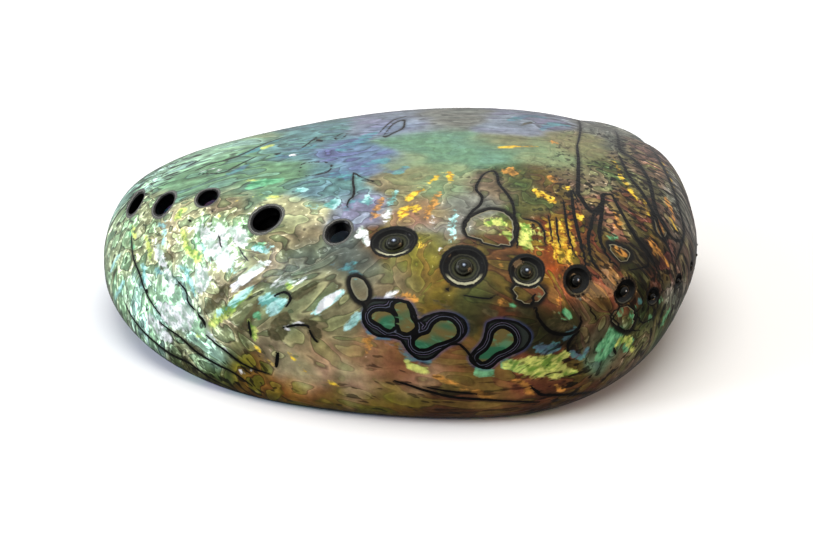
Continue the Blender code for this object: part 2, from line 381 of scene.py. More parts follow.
def add_node(tree, kind, links=None, output=0, **settings):
    """Adds a node with its settings and inputs, plain or linked, and returns one of its outputs."""
    node = tree.nodes.new(kind)
    for name, value in settings.items():
        setattr(node, name, value)
    for name, value in (links or {}).items():
        for one in value if isinstance(value, list) else [value]:
            if isinstance(one, bpy.types.NodeSocket):
                tree.links.new(one, node.inputs[name])
            else:
                node.inputs[name].default_value = one
    return node.outputs[output] if len(node.outputs) else node


def new_tree(name, sizes):
    """An empty Geometry Nodes tree whose inputs are a mesh and these named sizes or objects."""
    tree = bpy.data.node_groups.new(name, "GeometryNodeTree")
    tree.interface.new_socket("Mesh", in_out="INPUT", socket_type="NodeSocketGeometry")
    tree.interface.new_socket("Mesh", in_out="OUTPUT", socket_type="NodeSocketGeometry")
    for size, value in sizes.items():
        kind = "NodeSocketFloat" if isinstance(value, float) else "NodeSocketObject"
        tree.interface.new_socket(size, in_out="INPUT", socket_type=kind)
    return tree, tree.nodes.new("NodeGroupInput").outputs


def end_tree(tree, mesh, material):
    """Closes a tree: its instances are made real and given their material."""
    real = add_node(tree, "GeometryNodeRealizeInstances", {"Geometry": mesh})
    covered = add_node(tree, "GeometryNodeSetMaterial", {"Geometry": real, "Material": material})
    tree.links.new(covered, tree.nodes.new("NodeGroupOutput").inputs[0])


def run_tree(target, tree, sizes):
    """Runs a tree on an object with these inputs, and leaves the result as its plain mesh."""
    modifier = target.modifiers.new(tree.name, "NODES")
    modifier.node_group = tree
    sockets = {item.name: item.identifier for item in tree.interface.items_tree if item.in_out == "INPUT"}
    for size, value in sizes.items():
        modifier[sockets[size]] = value
    graph = bpy.context.evaluated_depsgraph_get()
    evaluated = target.evaluated_get(graph)
    result = bpy.data.meshes.new_from_object(evaluated, preserve_all_data_layers=True, depsgraph=graph)
    target.modifiers.remove(modifier)
    target.data = result


# The relief that growth left: low waves parallel to the lip, one ridge under the pores, the groove
# between the whorls and the raised spire.
relief_sizes = {
    "Wave spacing": 0.105,
    "Wave height": 0.00030,
    "Row ridge height": 0.0009,
    "Row ridge width": 0.007,
    "Suture depth": 0.0010,
    "Suture width": 0.16,
    "Spire lift": 0.0010,
    "Spire spread": 0.20,
}
relief_tree, given = new_tree("grown_relief", relief_sizes)
node = partial(add_node, relief_tree)
read = {}
for field in ("growth", "off_row", "row_there", "from_suture", "suture_there", "spire_radius", "edge"):
    read[field] = node("GeometryNodeInputNamedAttribute", {"Name": field}, data_type="FLOAT")


def bump_from(distance, width, height):
    """A rounded ridge of this height where the distance is none, falling off within the width."""
    ratio = node("ShaderNodeMath", {0: distance, 1: width}, operation="DIVIDE")
    square = node("ShaderNodeMath", {0: ratio, 1: ratio}, operation="MULTIPLY")
    minus = node("ShaderNodeMath", {0: square, 1: -1.0}, operation="MULTIPLY")
    fall = node("ShaderNodeMath", {0: minus}, operation="EXPONENT")
    return node("ShaderNodeMath", {0: fall, 1: height}, operation="MULTIPLY")


turns = node("ShaderNodeMath", {0: read["growth"], 1: given["Wave spacing"]}, operation="DIVIDE")
waves = node("ShaderNodeTexNoise", {"W": turns, "Scale": 1.0, "Detail": 1.5}, noise_dimensions="1D")
waves = node("ShaderNodeMath", {0: waves, 1: -0.5})
young = node("ShaderNodeMath", {0: read["spire_radius"], 1: 0.9}, operation="DIVIDE", use_clamp=True)
waves = node("ShaderNodeMath", {0: waves, 1: young}, operation="MULTIPLY")
height = node("ShaderNodeMath", {0: waves, 1: given["Wave height"]}, operation="MULTIPLY")
row = bump_from(read["off_row"], given["Row ridge width"], given["Row ridge height"])
height = node("ShaderNodeMath", {0: row, 1: read["row_there"], 2: height}, operation="MULTIPLY_ADD")
suture = bump_from(read["from_suture"], given["Suture width"], given["Suture depth"])
suture = node("ShaderNodeMath", {0: suture, 1: read["suture_there"]}, operation="MULTIPLY")
height = node("ShaderNodeMath", {0: height, 1: suture}, operation="SUBTRACT")
spire = bump_from(read["spire_radius"], given["Spire spread"], given["Spire lift"])
height = node("ShaderNodeMath", {0: height, 1: spire})
height = node("ShaderNodeMath", {0: height, 1: read["edge"]}, operation="MULTIPLY")
way_out = node("GeometryNodeInputNamedAttribute", {"Name": "outward"}, data_type="FLOAT_VECTOR")
raised = node("ShaderNodeVectorMath", {0: way_out, "Scale": height}, operation="SCALE")
moved = node("GeometryNodeSetPosition", {"Geometry": given["Mesh"], "Offset": raised})
end_tree(relief_tree, moved, nacre)
run_tree(skin, relief_tree, relief_sizes)

# The pores
# Breathing holes that the animal left one after another along the left shoulder. The five youngest
# are open; the rest were sealed from inside, and grinding cut each into a dish with a bead in it.
DISH_DEPTH = 0.0011
DISH_SHARE = 0.3
DISH_RIM = 0.745
BEAD_SHARE = 0.46
BEAD_RISE = 0.0004
HOLE_SHARE = 0.80
skin_now = np.empty(len(skin.data.vertices) * 3)
skin.data.vertices.foreach_get("co", skin_now)
skin_now = skin_now.reshape(-1, 3)
skin_finder = KDTree(len(skin_now))
for number, point in enumerate(skin_now):
    skin_finder.insert(point, number)
skin_finder.balance()


def pore_frame(pore):
    """A frame on the skin at a pore: X along its length, Z out of the shell."""
    place = np.array(pore[:2])
    up = Vector(outward(place))
    near = skin_finder.find(Vector(dome(place)))[1]
    rise = (Vector(skin_now[near]) - Vector(dome(skin_disc[near]))).dot(up)
    heading = np.radians(pore[4])
    along = Vector((np.cos(heading), np.sin(heading), 0.0))
    along = (along - up * along.dot(up)).normalized()
    turned = Matrix((along, up.cross(along), up)).transposed()
    return Matrix.Translation(Vector(dome(place)) + up * rise) @ turned.to_4x4()


pore_frames = [pore_frame(pore) for pore in all_pores]
half_sizes = np.array([(pore[2] / 2.0, pore[3] / 2.0) for pore in all_pores])
dish_depths = np.minimum(DISH_DEPTH, DISH_SHARE * 2.0 * half_sizes[:, 1])
is_open = np.arange(len(all_pores)) < len(OPEN_PORES)
places_mesh = bpy.data.meshes.new("pore_places")
places_mesh.from_pydata([tuple(place.translation) for place in pore_frames], [], [])
add_field(places_mesh, "turn", np.array([tuple(place.to_euler()) for place in pore_frames]))
add_field(places_mesh, "half_size", np.column_stack([half_sizes, dish_depths]))
add_field(places_mesh, "is_open", is_open.astype(float))
pore_places = bpy.data.objects.new("pore_places", places_mesh)
bpy.context.collection.objects.link(pore_places)

pore_sizes = {
    "Places": pore_places,
    "Dish rim": DISH_RIM,
    "Bead share": BEAD_SHARE,
    "Bead rise": BEAD_RISE,
    "Hole share": HOLE_SHARE,
    "Hole length": 4.0 * WALL,
}
pore_tree, given = new_tree("sunken_pores", pore_sizes)
node = partial(add_node, pore_tree)
places = node("GeometryNodeObjectInfo", {"Object": given["Places"]}, output="Geometry")
turn = node("GeometryNodeInputNamedAttribute", {"Name": "turn"}, data_type="FLOAT_VECTOR")
turn = node("FunctionNodeEulerToRotation", {0: turn})
half_size = node("GeometryNodeInputNamedAttribute", {"Name": "half_size"}, data_type="FLOAT_VECTOR")
opened = node("GeometryNodeInputNamedAttribute", {"Name": "is_open"}, data_type="FLOAT")
closed = node("ShaderNodeMath", {0: 1.0, 1: opened}, operation="SUBTRACT")
split = node("ShaderNodeSeparateXYZ", {0: half_size}, output="Z")
depth = split
half_length, half_width = split.node.outputs["X"], split.node.outputs["Y"]
ball = node("GeometryNodeMeshUVSphere", {"Segments": 36, "Rings": 18, "Radius": 1.0})


def place_copies(shape, chosen, size):
    """Copies of a shape on the chosen pores, turned with them, this size, as one real mesh."""
    copies = node(
        "GeometryNodeInstanceOnPoints",
        {"Points": places, "Selection": chosen, "Instance": shape, "Rotation": turn, "Scale": size},
    )
    return node("GeometryNodeRealizeInstances", {"Geometry": copies})


# A dish is cut by an ellipsoid whose middle stands above the skin by twice the dish's depth.
wide_x = node("ShaderNodeMath", {0: half_length, 1: given["Dish rim"]}, operation="DIVIDE")
wide_y = node("ShaderNodeMath", {0: half_width, 1: given["Dish rim"]}, operation="DIVIDE")
deep = node("ShaderNodeMath", {0: depth, 1: 3.0}, operation="MULTIPLY")
dish_size = node("ShaderNodeCombineXYZ", {"X": wide_x, "Y": wide_y, "Z": deep})
raised_ball = node("GeometryNodeTransform", {"Geometry": ball, "Translation": (0.0, 0.0, 2.0 / 3.0)})
dishes = place_copies(raised_ball, True, dish_size)

# A hole runs straight through the wall and narrows a little inwards.
drill = node(
    "GeometryNodeMeshCone",
    {"Vertices": 48, "Side Segments": 1, "Radius Top": 1.1, "Radius Bottom": 0.9, "Depth": 1.0},
)
drill = node("GeometryNodeTransform", {"Geometry": drill, "Translation": (0.0, 0.0, -0.5)})
hole_x = node("ShaderNodeMath", {0: half_length, 1: given["Hole share"]}, operation="MULTIPLY")
hole_y = node("ShaderNodeMath", {0: half_width, 1: given["Hole share"]}, operation="MULTIPLY")
hole_size = node("ShaderNodeCombineXYZ", {"X": hole_x, "Y": hole_y, "Z": given["Hole length"]})
drills = place_copies(drill, opened, hole_size)
cutters = node("GeometryNodeMeshBoolean", {1: [dishes, drills]}, operation="UNION", solver="EXACT")
wall = given["Mesh"]
pierced = node("GeometryNodeMeshBoolean", {0: wall, 1: cutters}, operation="DIFFERENCE", solver="EXACT")

# A bead is the cut end of the plug that sealed the pore.
bead_x = node("ShaderNodeMath", {0: half_length, 1: given["Bead share"]}, operation="MULTIPLY")
bead_y = node("ShaderNodeMath", {0: half_width, 1: given["Bead share"]}, operation="MULTIPLY")
bead_z = node("ShaderNodeMath", {0: depth, 1: given["Bead rise"]})
bead_size = node("ShaderNodeCombineXYZ", {"X": bead_x, "Y": bead_y, "Z": bead_z})
low_ball = node("GeometryNodeTransform", {"Geometry": ball, "Translation": (0.0, 0.0, -0.73)})
beads = place_copies(low_ball, closed, bead_size)
finished = node("GeometryNodeMeshBoolean", {1: [pierced, beads]}, operation="UNION", solver="EXACT")
end_tree(pore_tree, finished, nacre)
run_tree(skin, pore_tree, pore_sizes)
bpy.data.objects.remove(pore_places)

# The nacre's markings
# Polishing took the rough crust off and cut across the nacre, so its layers show as patches, flashes
# and dark contour lines of the horny layers between them. They are drawn here as strokes and loops
# of pixels of the photograph's frame, which are cast onto the shell through the camera.
# Among them, some pale strokes and patches are painted highlights and sheen, and some dark patches painted
# shade.
SCOUT_STEP = 0.008
scout_line = np.arange(-1.0, 1.0, SCOUT_STEP)
scout_disc = np.stack(np.meshgrid(scout_line, scout_line), axis=-1).reshape(-1, 2)
scout_disc = scout_disc[np.hypot(*scout_disc.T) < 0.995]
scout_points = dome(scout_disc)
faces_camera = np.einsum("ij,ij->i", outward(scout_disc), np.array(camera.location) - scout_points) > 0.0
scout_disc = scout_disc[faces_camera]
scout_pixels = to_pixels(scout_points[faces_camera])


def photo_to_disc(pixels):
    """The places on the disc that show at these pixels of the photograph."""
    pixels = np.asarray(pixels, dtype=float)
    away = ((scout_pixels[None] - pixels[:, None]) ** 2).sum(axis=-1)
    disc = scout_disc[np.argmin(away, axis=1)]
    step = 1e-4
    for _ in range(4):
        here = to_pixels(dome(disc))
        by_x = (to_pixels(dome(disc + (step, 0.0))) - here) / step
        by_y = (to_pixels(dome(disc + (0.0, step))) - here) / step
        miss = pixels - here
        scale = by_x[:, 0] * by_y[:, 1] - by_x[:, 1] * by_y[:, 0]
        move_x = (miss[:, 0] * by_y[:, 1] - miss[:, 1] * by_y[:, 0]) / scale
        move_y = (by_x[:, 0] * miss[:, 1] - by_x[:, 1] * miss[:, 0]) / scale
        disc = disc + np.clip(np.stack([move_x, move_y], axis=-1), -SCOUT_STEP, SCOUT_STEP)
        reach = np.hypot(*disc.T)[:, None]
        disc = np.where(reach > 0.998, disc * 0.998 / reach, disc)
    return disc


def smooth_path(places, steps, closed=False):
    """A smooth curve through places, with this many short runs between one place and the next."""
    count = len(places)
    spans = count if closed else count - 1
    if closed:
        padded = np.concatenate([places[-1:], places, places[:2]])
    else:
        padded = np.concatenate([2 * places[:1] - places[1:2], places, 2 * places[-1:] - places[-2:-1]])
    share = np.arange(steps)[:, None] / steps
    parts = []
    for span in range(spans):
        a, b, c, d = padded[span : span + 4]
        bend = 2 * b + (c - a) * share + (2 * a - 5 * b + 4 * c - d) * share**2
        parts.append((bend + (3 * b - a - 3 * c + d) * share**3) / 2)
    parts.append(places[:1] if closed else places[-1:])
    return np.concatenate(parts)


# The final mesh's vertices: where each lies on the disc, and how deep under the smooth outside.
MM = 1000.0
count = len(skin.data.vertices)
spots = np.empty(count * 3)
skin.data.vertices.foreach_get("co", spots)
spots = spots.reshape(-1, 3)
nearest = np.array([skin_finder.find(Vector(spot))[1:] for spot in spots])
spot_is_outside = nearest[:, 0] < outside_count
spot_disc = skin_disc[nearest[:, 0].astype(int)].copy()
moved_spots = np.flatnonzero((nearest[:, 1] > 1e-6) & spot_is_outside)
for _ in range(3):
    places = spot_disc[moved_spots]
    step = 1e-4
    miss = spots[moved_spots] - dome(places)
    by_x = (dome(places + (step, 0.0)) - dome(places)) / step
    by_y = (dome(places + (0.0, step)) - dome(places)) / step
    xx, xy, yy = [np.einsum("ij,ij->i", *pair) for pair in ((by_x, by_x), (by_x, by_y), (by_y, by_y))]
    miss_x, miss_y = np.einsum("ij,ij->i", by_x, miss), np.einsum("ij,ij->i", by_y, miss)
    scale = xx * yy - xy * xy
    move = np.stack([(miss_x * yy - miss_y * xy) / scale, (miss_y * xx - miss_x * xy) / scale], axis=-1)
    spot_disc[moved_spots] += np.clip(move, -0.01, 0.01)
spot_outward = outward(spot_disc)
spot_depth = MM * np.einsum("ij,ij->i", dome(spot_disc) - spots, spot_outward)
spots_mm = MM * spots
spot_pixels = to_pixels(spots)


def near_path(path, reach):
    """The vertices within reach of a path, and for each its distance, side and share along it."""
    middle = path.mean(axis=0)
    radius = np.linalg.norm(path - middle, axis=1).max() + reach
    chosen = np.flatnonzero(((spots_mm - middle) ** 2).sum(axis=1) < radius**2)
    best = np.full(len(chosen), 1e9)
    side = np.ones(len(chosen))
    share = np.zeros(len(chosen))
    for number in range(len(path) - 1):
        start, run = path[number], path[number + 1] - path[number]
        away = spots_mm[chosen] - start
        along = np.clip(away @ run / (run @ run + 1e-9), 0.0, 1.0)
        distance = np.linalg.norm(away - along[:, None] * run, axis=1)
        closer = distance < best
        best = np.where(closer, distance, best)
        turned = np.einsum("ij,ij->i", np.cross(run, away), spot_outward[chosen])
        side = np.where(closer, np.where(turned < 0.0, -1.0, 1.0), side)
        share = np.where(closer, (number + along) / (len(path) - 1), share)
    return chosen, best, side, share


FADE = 3.0
STEPS = 5


def stroke_field(strokes):
    """How far inside the nearest stroke each vertex lies, in millimetres; strokes end in points."""
    field = np.full(count, -FADE)
    for half_width, *pixels in strokes:
        path = MM * dome(smooth_path(photo_to_disc(pixels), STEPS))
        chosen, distance, _, share = near_path(path, half_width + FADE)
        width = half_width * np.maximum(4.0 * share * (1.0 - share), 0.0) ** 0.4
        field[chosen] = np.maximum(field[chosen], width - distance)
    return field


def loop_field(loops):
    """Each vertex's distance to the nearest of these closed loops, in millimetres, positive inside."""
    field = np.full(count, -FADE)
    for pixels in loops:
        disc = smooth_path(photo_to_disc(pixels), STEPS, closed=True)
        chosen, distance, _, _ = near_path(MM * dome(disc), FADE)
        outline = to_pixels(dome(disc))
        x, y = spot_pixels[chosen].T
        within = np.zeros(len(chosen), dtype=bool)
        for (from_x, from_y), (to_x, to_y) in zip(outline[:-1], outline[1:]):
            crosses = (from_y > y) != (to_y > y)
            at_x = from_x + (y - from_y) * (to_x - from_x) / np.where(to_y == from_y, 1e-9, to_y - from_y)
            within ^= crosses & (x < at_x)
        signed = np.where(within, distance, -distance)
        field[chosen] = np.maximum(field[chosen], signed)
    return field


def line_fields(lines):
    """The signed and the plain distance to the nearest line, both in half widths of that line."""
    signed = np.full(count, 6.0)
    plain = np.full(count, 6.0)
    for half_width, *pixels in lines:
        path = MM * dome(smooth_path(photo_to_disc(pixels), STEPS))
        chosen, distance, side, share = near_path(path, 6.0 * half_width)
        width = half_width * (0.35 + 0.65 * np.maximum(4.0 * share * (1.0 - share), 0.0) ** 0.5)
        ratio = np.minimum(distance / width, 6.0)
        closer = ratio < plain[chosen]
        plain[chosen] = np.where(closer, ratio, plain[chosen])
        signed[chosen] = np.where(closer, ratio * side, signed[chosen])
    return signed, plain


# Flashes of each colour: half width in millimetres, then the pixels that the stroke runs through.
# The pearl strokes are partly pale nacre and partly painted highlights, which go pure white.
PEARL_AND_HIGHLIGHT = (
    (1.9, (196, 226), (208, 236), (216, 252), (230, 272)),
    (1.7, (208, 224), (222, 232), (224, 250), (236, 268)),
    (2.2, (228, 230), (240, 236), (248, 248)),
    (2.4, (196, 268), (203, 280), (196, 292)),
    (2.6, (158, 304), (170, 316), (184, 328)),
    (2.2, (180, 306), (188, 316), (184, 332)),
    (1.9, (147, 314), (158, 328), (172, 341)),
    (1.2, (158, 238), (160, 256), (166, 270)),
    (1.3, (166, 268), (172, 284), (168, 296)),
    (1.3, (231, 291), (251, 272), (272, 260)),
    (0.9, (270, 288), (286, 280), (296, 284)),
    (0.8, (296, 283), (309, 278)),
    (1.1, (391, 205), (388, 216), (385, 227)),
    (0.4, (432, 215), (432, 236)),
    (1.6, (361, 226), (363, 238), (369, 249)),
    (0.8, (384, 298), (397, 291)),
    (0.8, (441, 245), (440, 258)),
    (0.9, (317, 313), (328, 299), (341, 287)),
    (0.6, (283, 328), (302, 323)),
    (0.5, (287, 155), (296, 155)),
    (0.8, (205, 330), (216, 342)),
    (0.6, (196, 176), (206, 170), (222, 170)),
    (0.7, (240, 372), (252, 369)),
    (0.6, (222, 349), (230, 352)),
)
AQUA = (
    (0.8, (115, 302), (120, 290), (126, 279)),
    (0.5, (110, 274), (120, 254)),
    (0.8, (188, 276), (193, 288), (195, 300)),
    (0.9, (177, 265), (189, 274), (186, 288)),
    (0.6, (163, 234), (163, 247)),
    (0.7, (165, 219), (166, 236)),
    (1.0, (148, 312), (156, 322), (166, 332)),
    (1.7, (258, 306), (268, 300), (282, 302)),
    (1.2, (268, 316), (278, 308), (288, 300)),
    (1.0, (313, 317), (327, 302), (344, 288)),
    (1.3, (295, 192), (309, 190)),
    (1.9, (324, 206), (341, 206)),
    (1.2, (306, 207), (321, 209)),
    (1.7, (328, 202), (341, 206)),
    (0.9, (455, 208), (453, 226), (450, 246)),
    (1.1, (397, 190), (392, 200), (387, 214)),
    (1.1, (346, 331), (353, 322), (362, 314)),
    (1.2, (367, 196), (370, 210)),
    (1.0, (216, 316), (236, 302), (256, 284)),
    (0.9, (142, 262), (144, 276), (141, 290)),
    (1.2, (252, 244), (262, 251), (276, 246)),
    (0.6, (201, 240), (208, 254), (216, 268)),
    (0.5, (219, 252), (228, 266), (238, 276)),
)
LIME = (
    (1.3, (175, 223), (182, 214), (188, 207)),
    (1.0, (181, 228), (190, 246)),
    (1.5, (207, 329), (232, 306), (254, 288)),
    (1.2, (248, 319), (252, 330), (255, 342)),
    (1.0, (286, 280), (292, 290)),
    (0.8, (196, 330), (202, 340)),
    (0.6, (136, 240), (133, 226)),
    (0.7, (146, 236), (150, 250), (150, 264)),
    (0.7, (250, 200), (264, 196)),
    (0.8, (264, 199), (287, 199)),
    (0.6, (243, 181), (262, 181)),
    (1.1, (262, 149), (272, 144)),
    (1.9, (524, 222), (526, 238), (525, 256)),
    (0.8, (538, 226), (541, 240), (540, 256)),
    (1.5, (484, 226), (496, 222), (508, 226)),
    (1.2, (500, 232), (509, 236), (509, 243)),
    (0.9, (404, 362), (416, 367), (430, 370)),
    (2.0, (502, 364), (524, 366), (548, 362), (570, 353)),
    (1.8, (520, 368), (540, 371), (566, 366)),
    (1.3, (540, 374), (560, 373), (578, 372)),
    (1.1, (614, 350), (624, 338), (634, 350)),
    (1.0, (428, 326), (440, 322)),
    (1.3, (184, 244), (196, 256), (200, 262)),
)
GOLD = (
    (1.3, (399, 223), (405, 212), (413, 205)),
    (1.0, (404, 203), (413, 195), (426, 188)),
    (0.7, (429, 183), (441, 173)),
    (0.9, (450, 170), (450, 183)),
    (0.9, (419, 236), (422, 252)),
    (0.8, (415, 214), (419, 204)),
    (0.7, (496, 148), (518, 146), (540, 147)),
    (1.2, (531, 190), (544, 196), (558, 203)),
    (0.6, (566, 184), (568, 191)),
    (0.9, (578, 211), (580, 222)),
    (1.6, (552, 220), (556, 242), (558, 266)),
    (1.2, (560, 222), (563, 244), (568, 268)),
    (0.7, (567, 220), (572, 244), (576, 266)),
    (0.6, (546, 224), (549, 240), (550, 256)),
    (0.7, (530, 236), (531, 252)),
    (0.35, (288, 353), (302, 369), (326, 382), (344, 389)),
    (0.3, (254, 345), (264, 356), (276, 365)),
    (0.5, (643, 196), (646, 206), (650, 217)),
    (0.7, (236, 203), (240, 212)),
    (0.5, (220, 214), (222, 220)),
    (0.5, (478, 262), (476, 256)),
    (0.4, (668, 214), (673, 224), (678, 234)),
    (0.5, (659, 160), (668, 176), (676, 194)),
    (0.5, (490, 246), (500, 252)),
    (0.4, (612, 156), (622, 178), (636, 200)),
)
AMBER = (
    (1.7, (501, 172), (510, 171), (518, 175)),
    (0.8, (549, 141), (559, 144)),
    (1.3, (560, 254), (566, 262), (571, 270)),
    (0.9, (548, 176), (556, 182)),
    (1.3, (612, 248), (620, 251), (626, 257)),
    (1.1, (654, 246), (662, 258), (668, 267)),
    (0.8, (655, 218), (660, 228), (662, 236)),
    (0.9, (512, 379), (524, 385), (534, 393)),
    (0.9, (553, 384), (560, 388), (565, 392)),
    (1.3, (383, 198), (377, 210), (371, 224)),
    (1.0, (404, 316), (400, 298), (420, 300)),
    (0.9, (492, 258), (500, 266), (503, 276)),
    (0.8, (558, 296), (560, 308)),
    (0.9, (498, 299), (506, 304)),
    (0.5, (318, 140), (325, 136)),
    (1.1, (440, 190), (432, 206), (424, 222)),
    (0.9, (472, 392), (486, 396), (500, 399)),
    (1.0, (614, 212), (618, 222), (620, 232)),
    (1.2, (650, 234), (654, 246), (652, 256)),
    (0.7, (664, 196), (670, 208), (674, 220)),
    (0.6, (434, 376), (452, 384), (470, 388)),
    (0.8, (362, 344), (372, 338), (366, 352)),
)
MINT = (
    (1.4, (559, 311), (565, 312), (572, 316)),
    (1.2, (508, 302), (516, 307)),
    (0.7, (537, 293), (539, 303)),
    (1.6, (606, 338), (614, 330), (622, 338)),
    (1.7, (596, 350), (606, 342), (616, 346)),
    (1.6, (596, 362), (604, 354), (612, 350)),
    (1.5, (622, 352), (628, 344), (634, 340)),
    (1.5, (625, 318), (630, 310), (634, 322)),
    (1.1, (614, 314), (620, 308), (617, 322)),
    (0.9, (645, 316), (650, 318)),
    (1.0, (607, 232), (612, 238), (620, 242)),
    (1.3, (474, 367), (484, 372), (496, 374)),
    (1.5, (500, 361), (514, 366), (526, 370)),
    (0.6, (133, 224), (131, 238), (134, 250)),
    (1.4, (255, 245), (266, 251)),
    (1.0, (660, 326), (664, 316), (668, 306)),
    (0.8, (655, 304), (660, 296)),
    (1.6, (432, 340), (440, 336), (448, 334)),
    (1.2, (252, 312), (262, 320)),
    (1.0, (212, 322), (226, 310)),
    (1.5, (492, 352), (498, 344), (506, 338)),
    (2.2, (246, 190), (262, 184), (284, 180)),
    (1.4, (400, 310), (404, 318), (402, 328)),
)
SEA = (
    (1.6, (534, 346), (548, 349), (562, 346)),
    (1.2, (562, 342), (570, 333), (578, 329)),
    (1.0, (584, 358), (588, 346)),
    (1.1, (568, 350), (576, 354), (582, 357)),
    (1.6, (226, 175), (238, 170), (249, 164)),
    (1.2, (234, 158), (262, 147), (282, 138)),
    (1.7, (334, 151), (350, 146), (377, 132)),
    (1.9, (328, 176), (340, 174), (352, 181)),
    (1.8, (362, 166), (376, 162), (392, 161)),
    (1.3, (360, 200), (368, 204), (375, 203)),
    (1.2, (276, 155), (292, 157)),
    (0.9, (154, 268), (164, 274)),
    (1.8, (508, 121), (530, 116), (548, 119)),
    (1.6, (540, 130), (556, 124), (570, 128)),
    (1.0, (345, 216), (352, 204), (362, 198)),
    (0.8, (366, 328), (376, 338), (392, 343)),
    (0.8, (398, 346), (410, 358), (424, 363), (440, 354)),
    (0.9, (612, 300), (620, 303)),
    (0.9, (634, 298), (641, 303)),
    (0.6, (570, 298), (580, 300)),
    (0.8, (326, 262), (342, 268), (360, 262)),
    (0.8, (344, 262), (352, 272), (364, 280)),
    (0.8, (152, 222), (164, 226), (172, 222)),
    (1.3, (410, 166), (396, 172), (384, 170)),
    (1.0, (300, 150), (316, 145)),
)
OLIVE = (
    (1.6, (203, 314), (216, 300), (231, 283)),
    (1.6, (238, 336), (250, 318), (263, 297)),
    (0.9, (243, 288), (256, 269)),
    (2.4, (270, 338), (280, 326), (288, 312)),
    (1.4, (292, 300), (304, 292), (318, 284)),
    (1.5, (299, 322), (312, 326), (318, 343)),
    (1.3, (160, 258), (168, 256), (176, 260)),
    (0.7, (170, 296), (176, 288), (182, 282)),
    (0.8, (112, 282), (118, 266)),
    (1.6, (546, 320), (560, 326), (574, 324)),
    (1.6, (546, 330), (556, 322), (568, 318)),
    (1.2, (504, 310), (520, 308), (532, 314)),
    (1.3, (480, 312), (500, 314)),
    (0.8, (520, 126), (532, 122)),
    (0.7, (206, 222), (204, 238)),
    (1.2, (638, 262), (646, 258), (652, 266)),
    (1.5, (626, 244), (636, 256), (644, 268)),
    (1.0, (430, 300), (444, 304), (452, 312)),
    (1.3, (462, 320), (470, 326), (468, 338)),
    (1.0, (184, 340), (194, 348), (206, 356)),
    (0.9, (520, 342), (526, 350)),
)

# Dark contour lines: half width in millimetres, then the pixels they run through. Lines that run
# close to one another are in different sets.
CONTOURS = (
    (0.30, (132, 234), (133, 256), (140, 275), (144, 288), (151, 302), (162, 317)),
    (0.33, (124, 301), (132, 317), (143, 331), (157, 344), (172, 355), (189, 363), (207, 376), (230, 388)),
    (0.33, (230, 388), (254, 398), (286, 404), (345, 411)),
    (0.30, (205, 334), (216, 344), (227, 352), (238, 361), (251, 368), (270, 374)),
    (0.25, (175, 278), (186, 291), (188, 302), (197, 312)),
    (0.45, (197, 314), (203, 320), (206, 328)),
    (0.45, (146, 288), (148, 293)),
    (0.33, (274, 296), (285, 292), (291, 298), (285, 309)),
    (0.37, (248, 320), (250, 330), (252, 339)),
    (0.33, (283, 328), (296, 325), (310, 326)),
    (0.50, (278, 352), (277, 360), (276, 368)),
    (0.41, (300, 231), (309, 231), (318, 230)),
    (0.30, (221, 230), (220, 240), (223, 250)),
    (0.26, (237, 243), (244, 256), (250, 262)),
    (0.34, (354, 171), (353, 181), (354, 194), (348, 205), (351, 211), (364, 214)),
    (0.27, (383, 136), (392, 125), (397, 122), (404, 120), (403, 128), (391, 134), (386, 137), (383, 136)),
    (0.35, (521, 219), (536, 222), (543, 231), (545, 246), (544, 256)),
    (0.35, (458, 294), (473, 298), (489, 298), (502, 293)),
    (0.50, (536, 301), (536, 312), (543, 325), (553, 333), (566, 334), (576, 330), (580, 323), (579, 314)),
    (0.32, (449, 345), (459, 344), (466, 350), (472, 358), (478, 366)),
    (0.65, (577, 146), (578, 187), (581, 198), (592, 212), (602, 204), (603, 195), (612, 194)),
    (0.59, (612, 194), (619, 208), (629, 226), (639, 244), (646, 254), (646, 266), (632, 270), (622, 271)),
    (0.59, (622, 271), (610, 263), (602, 247), (599, 233), (602, 212), (602, 196)),
    (0.65, (615, 132), (620, 150), (634, 160), (648, 179), (655, 207), (664, 226), (674, 240), (682, 240)),
    (0.65, (639, 135), (660, 163), (676, 198), (683, 226), (682, 240), (674, 262), (672, 284)),
    (0.39, (583, 299), (590, 310), (597, 321)),
    (0.39, (600, 297), (611, 316), (622, 327)),
    (0.43, (612, 318), (620, 328), (628, 330), (640, 330)),
    (0.47, (613, 348), (616, 354)),
    (0.24, (193, 172), (208, 165), (236, 157), (264, 144), (285, 137)),
    (0.22, (299, 150), (310, 142), (318, 136)),
    (0.47, (315, 140), (324, 141)),
    (0.45, (274, 155), (281, 153)),
    (0.16, (334, 139), (340, 134), (347, 134), (341, 139), (334, 139)),
    (0.18, (300, 170), (304, 163), (330, 163), (326, 173), (301, 176), (300, 170)),
    (0.55, (536, 293), (532, 300), (530, 306)),
    (0.36, (576, 110), (577, 146)),
    (0.31, (556, 216), (558, 240), (563, 268)),
    (0.51, (571, 190), (575, 220), (584, 262), (590, 290)),
    (0.23, (532, 222), (534, 254)),
    (0.45, (244, 203), (251, 203)),
    (0.68, (446, 289), (449, 292)),
    (0.50, (212, 212), (216, 215)),
    (0.45, (189, 220), (193, 223)),
    (0.41, (530, 386), (538, 392), (548, 395), (600, 392)),
    (0.38, (392, 380), (420, 389), (452, 397), (492, 400), (540, 402)),
    (0.30, (185, 168), (200, 160)),
)
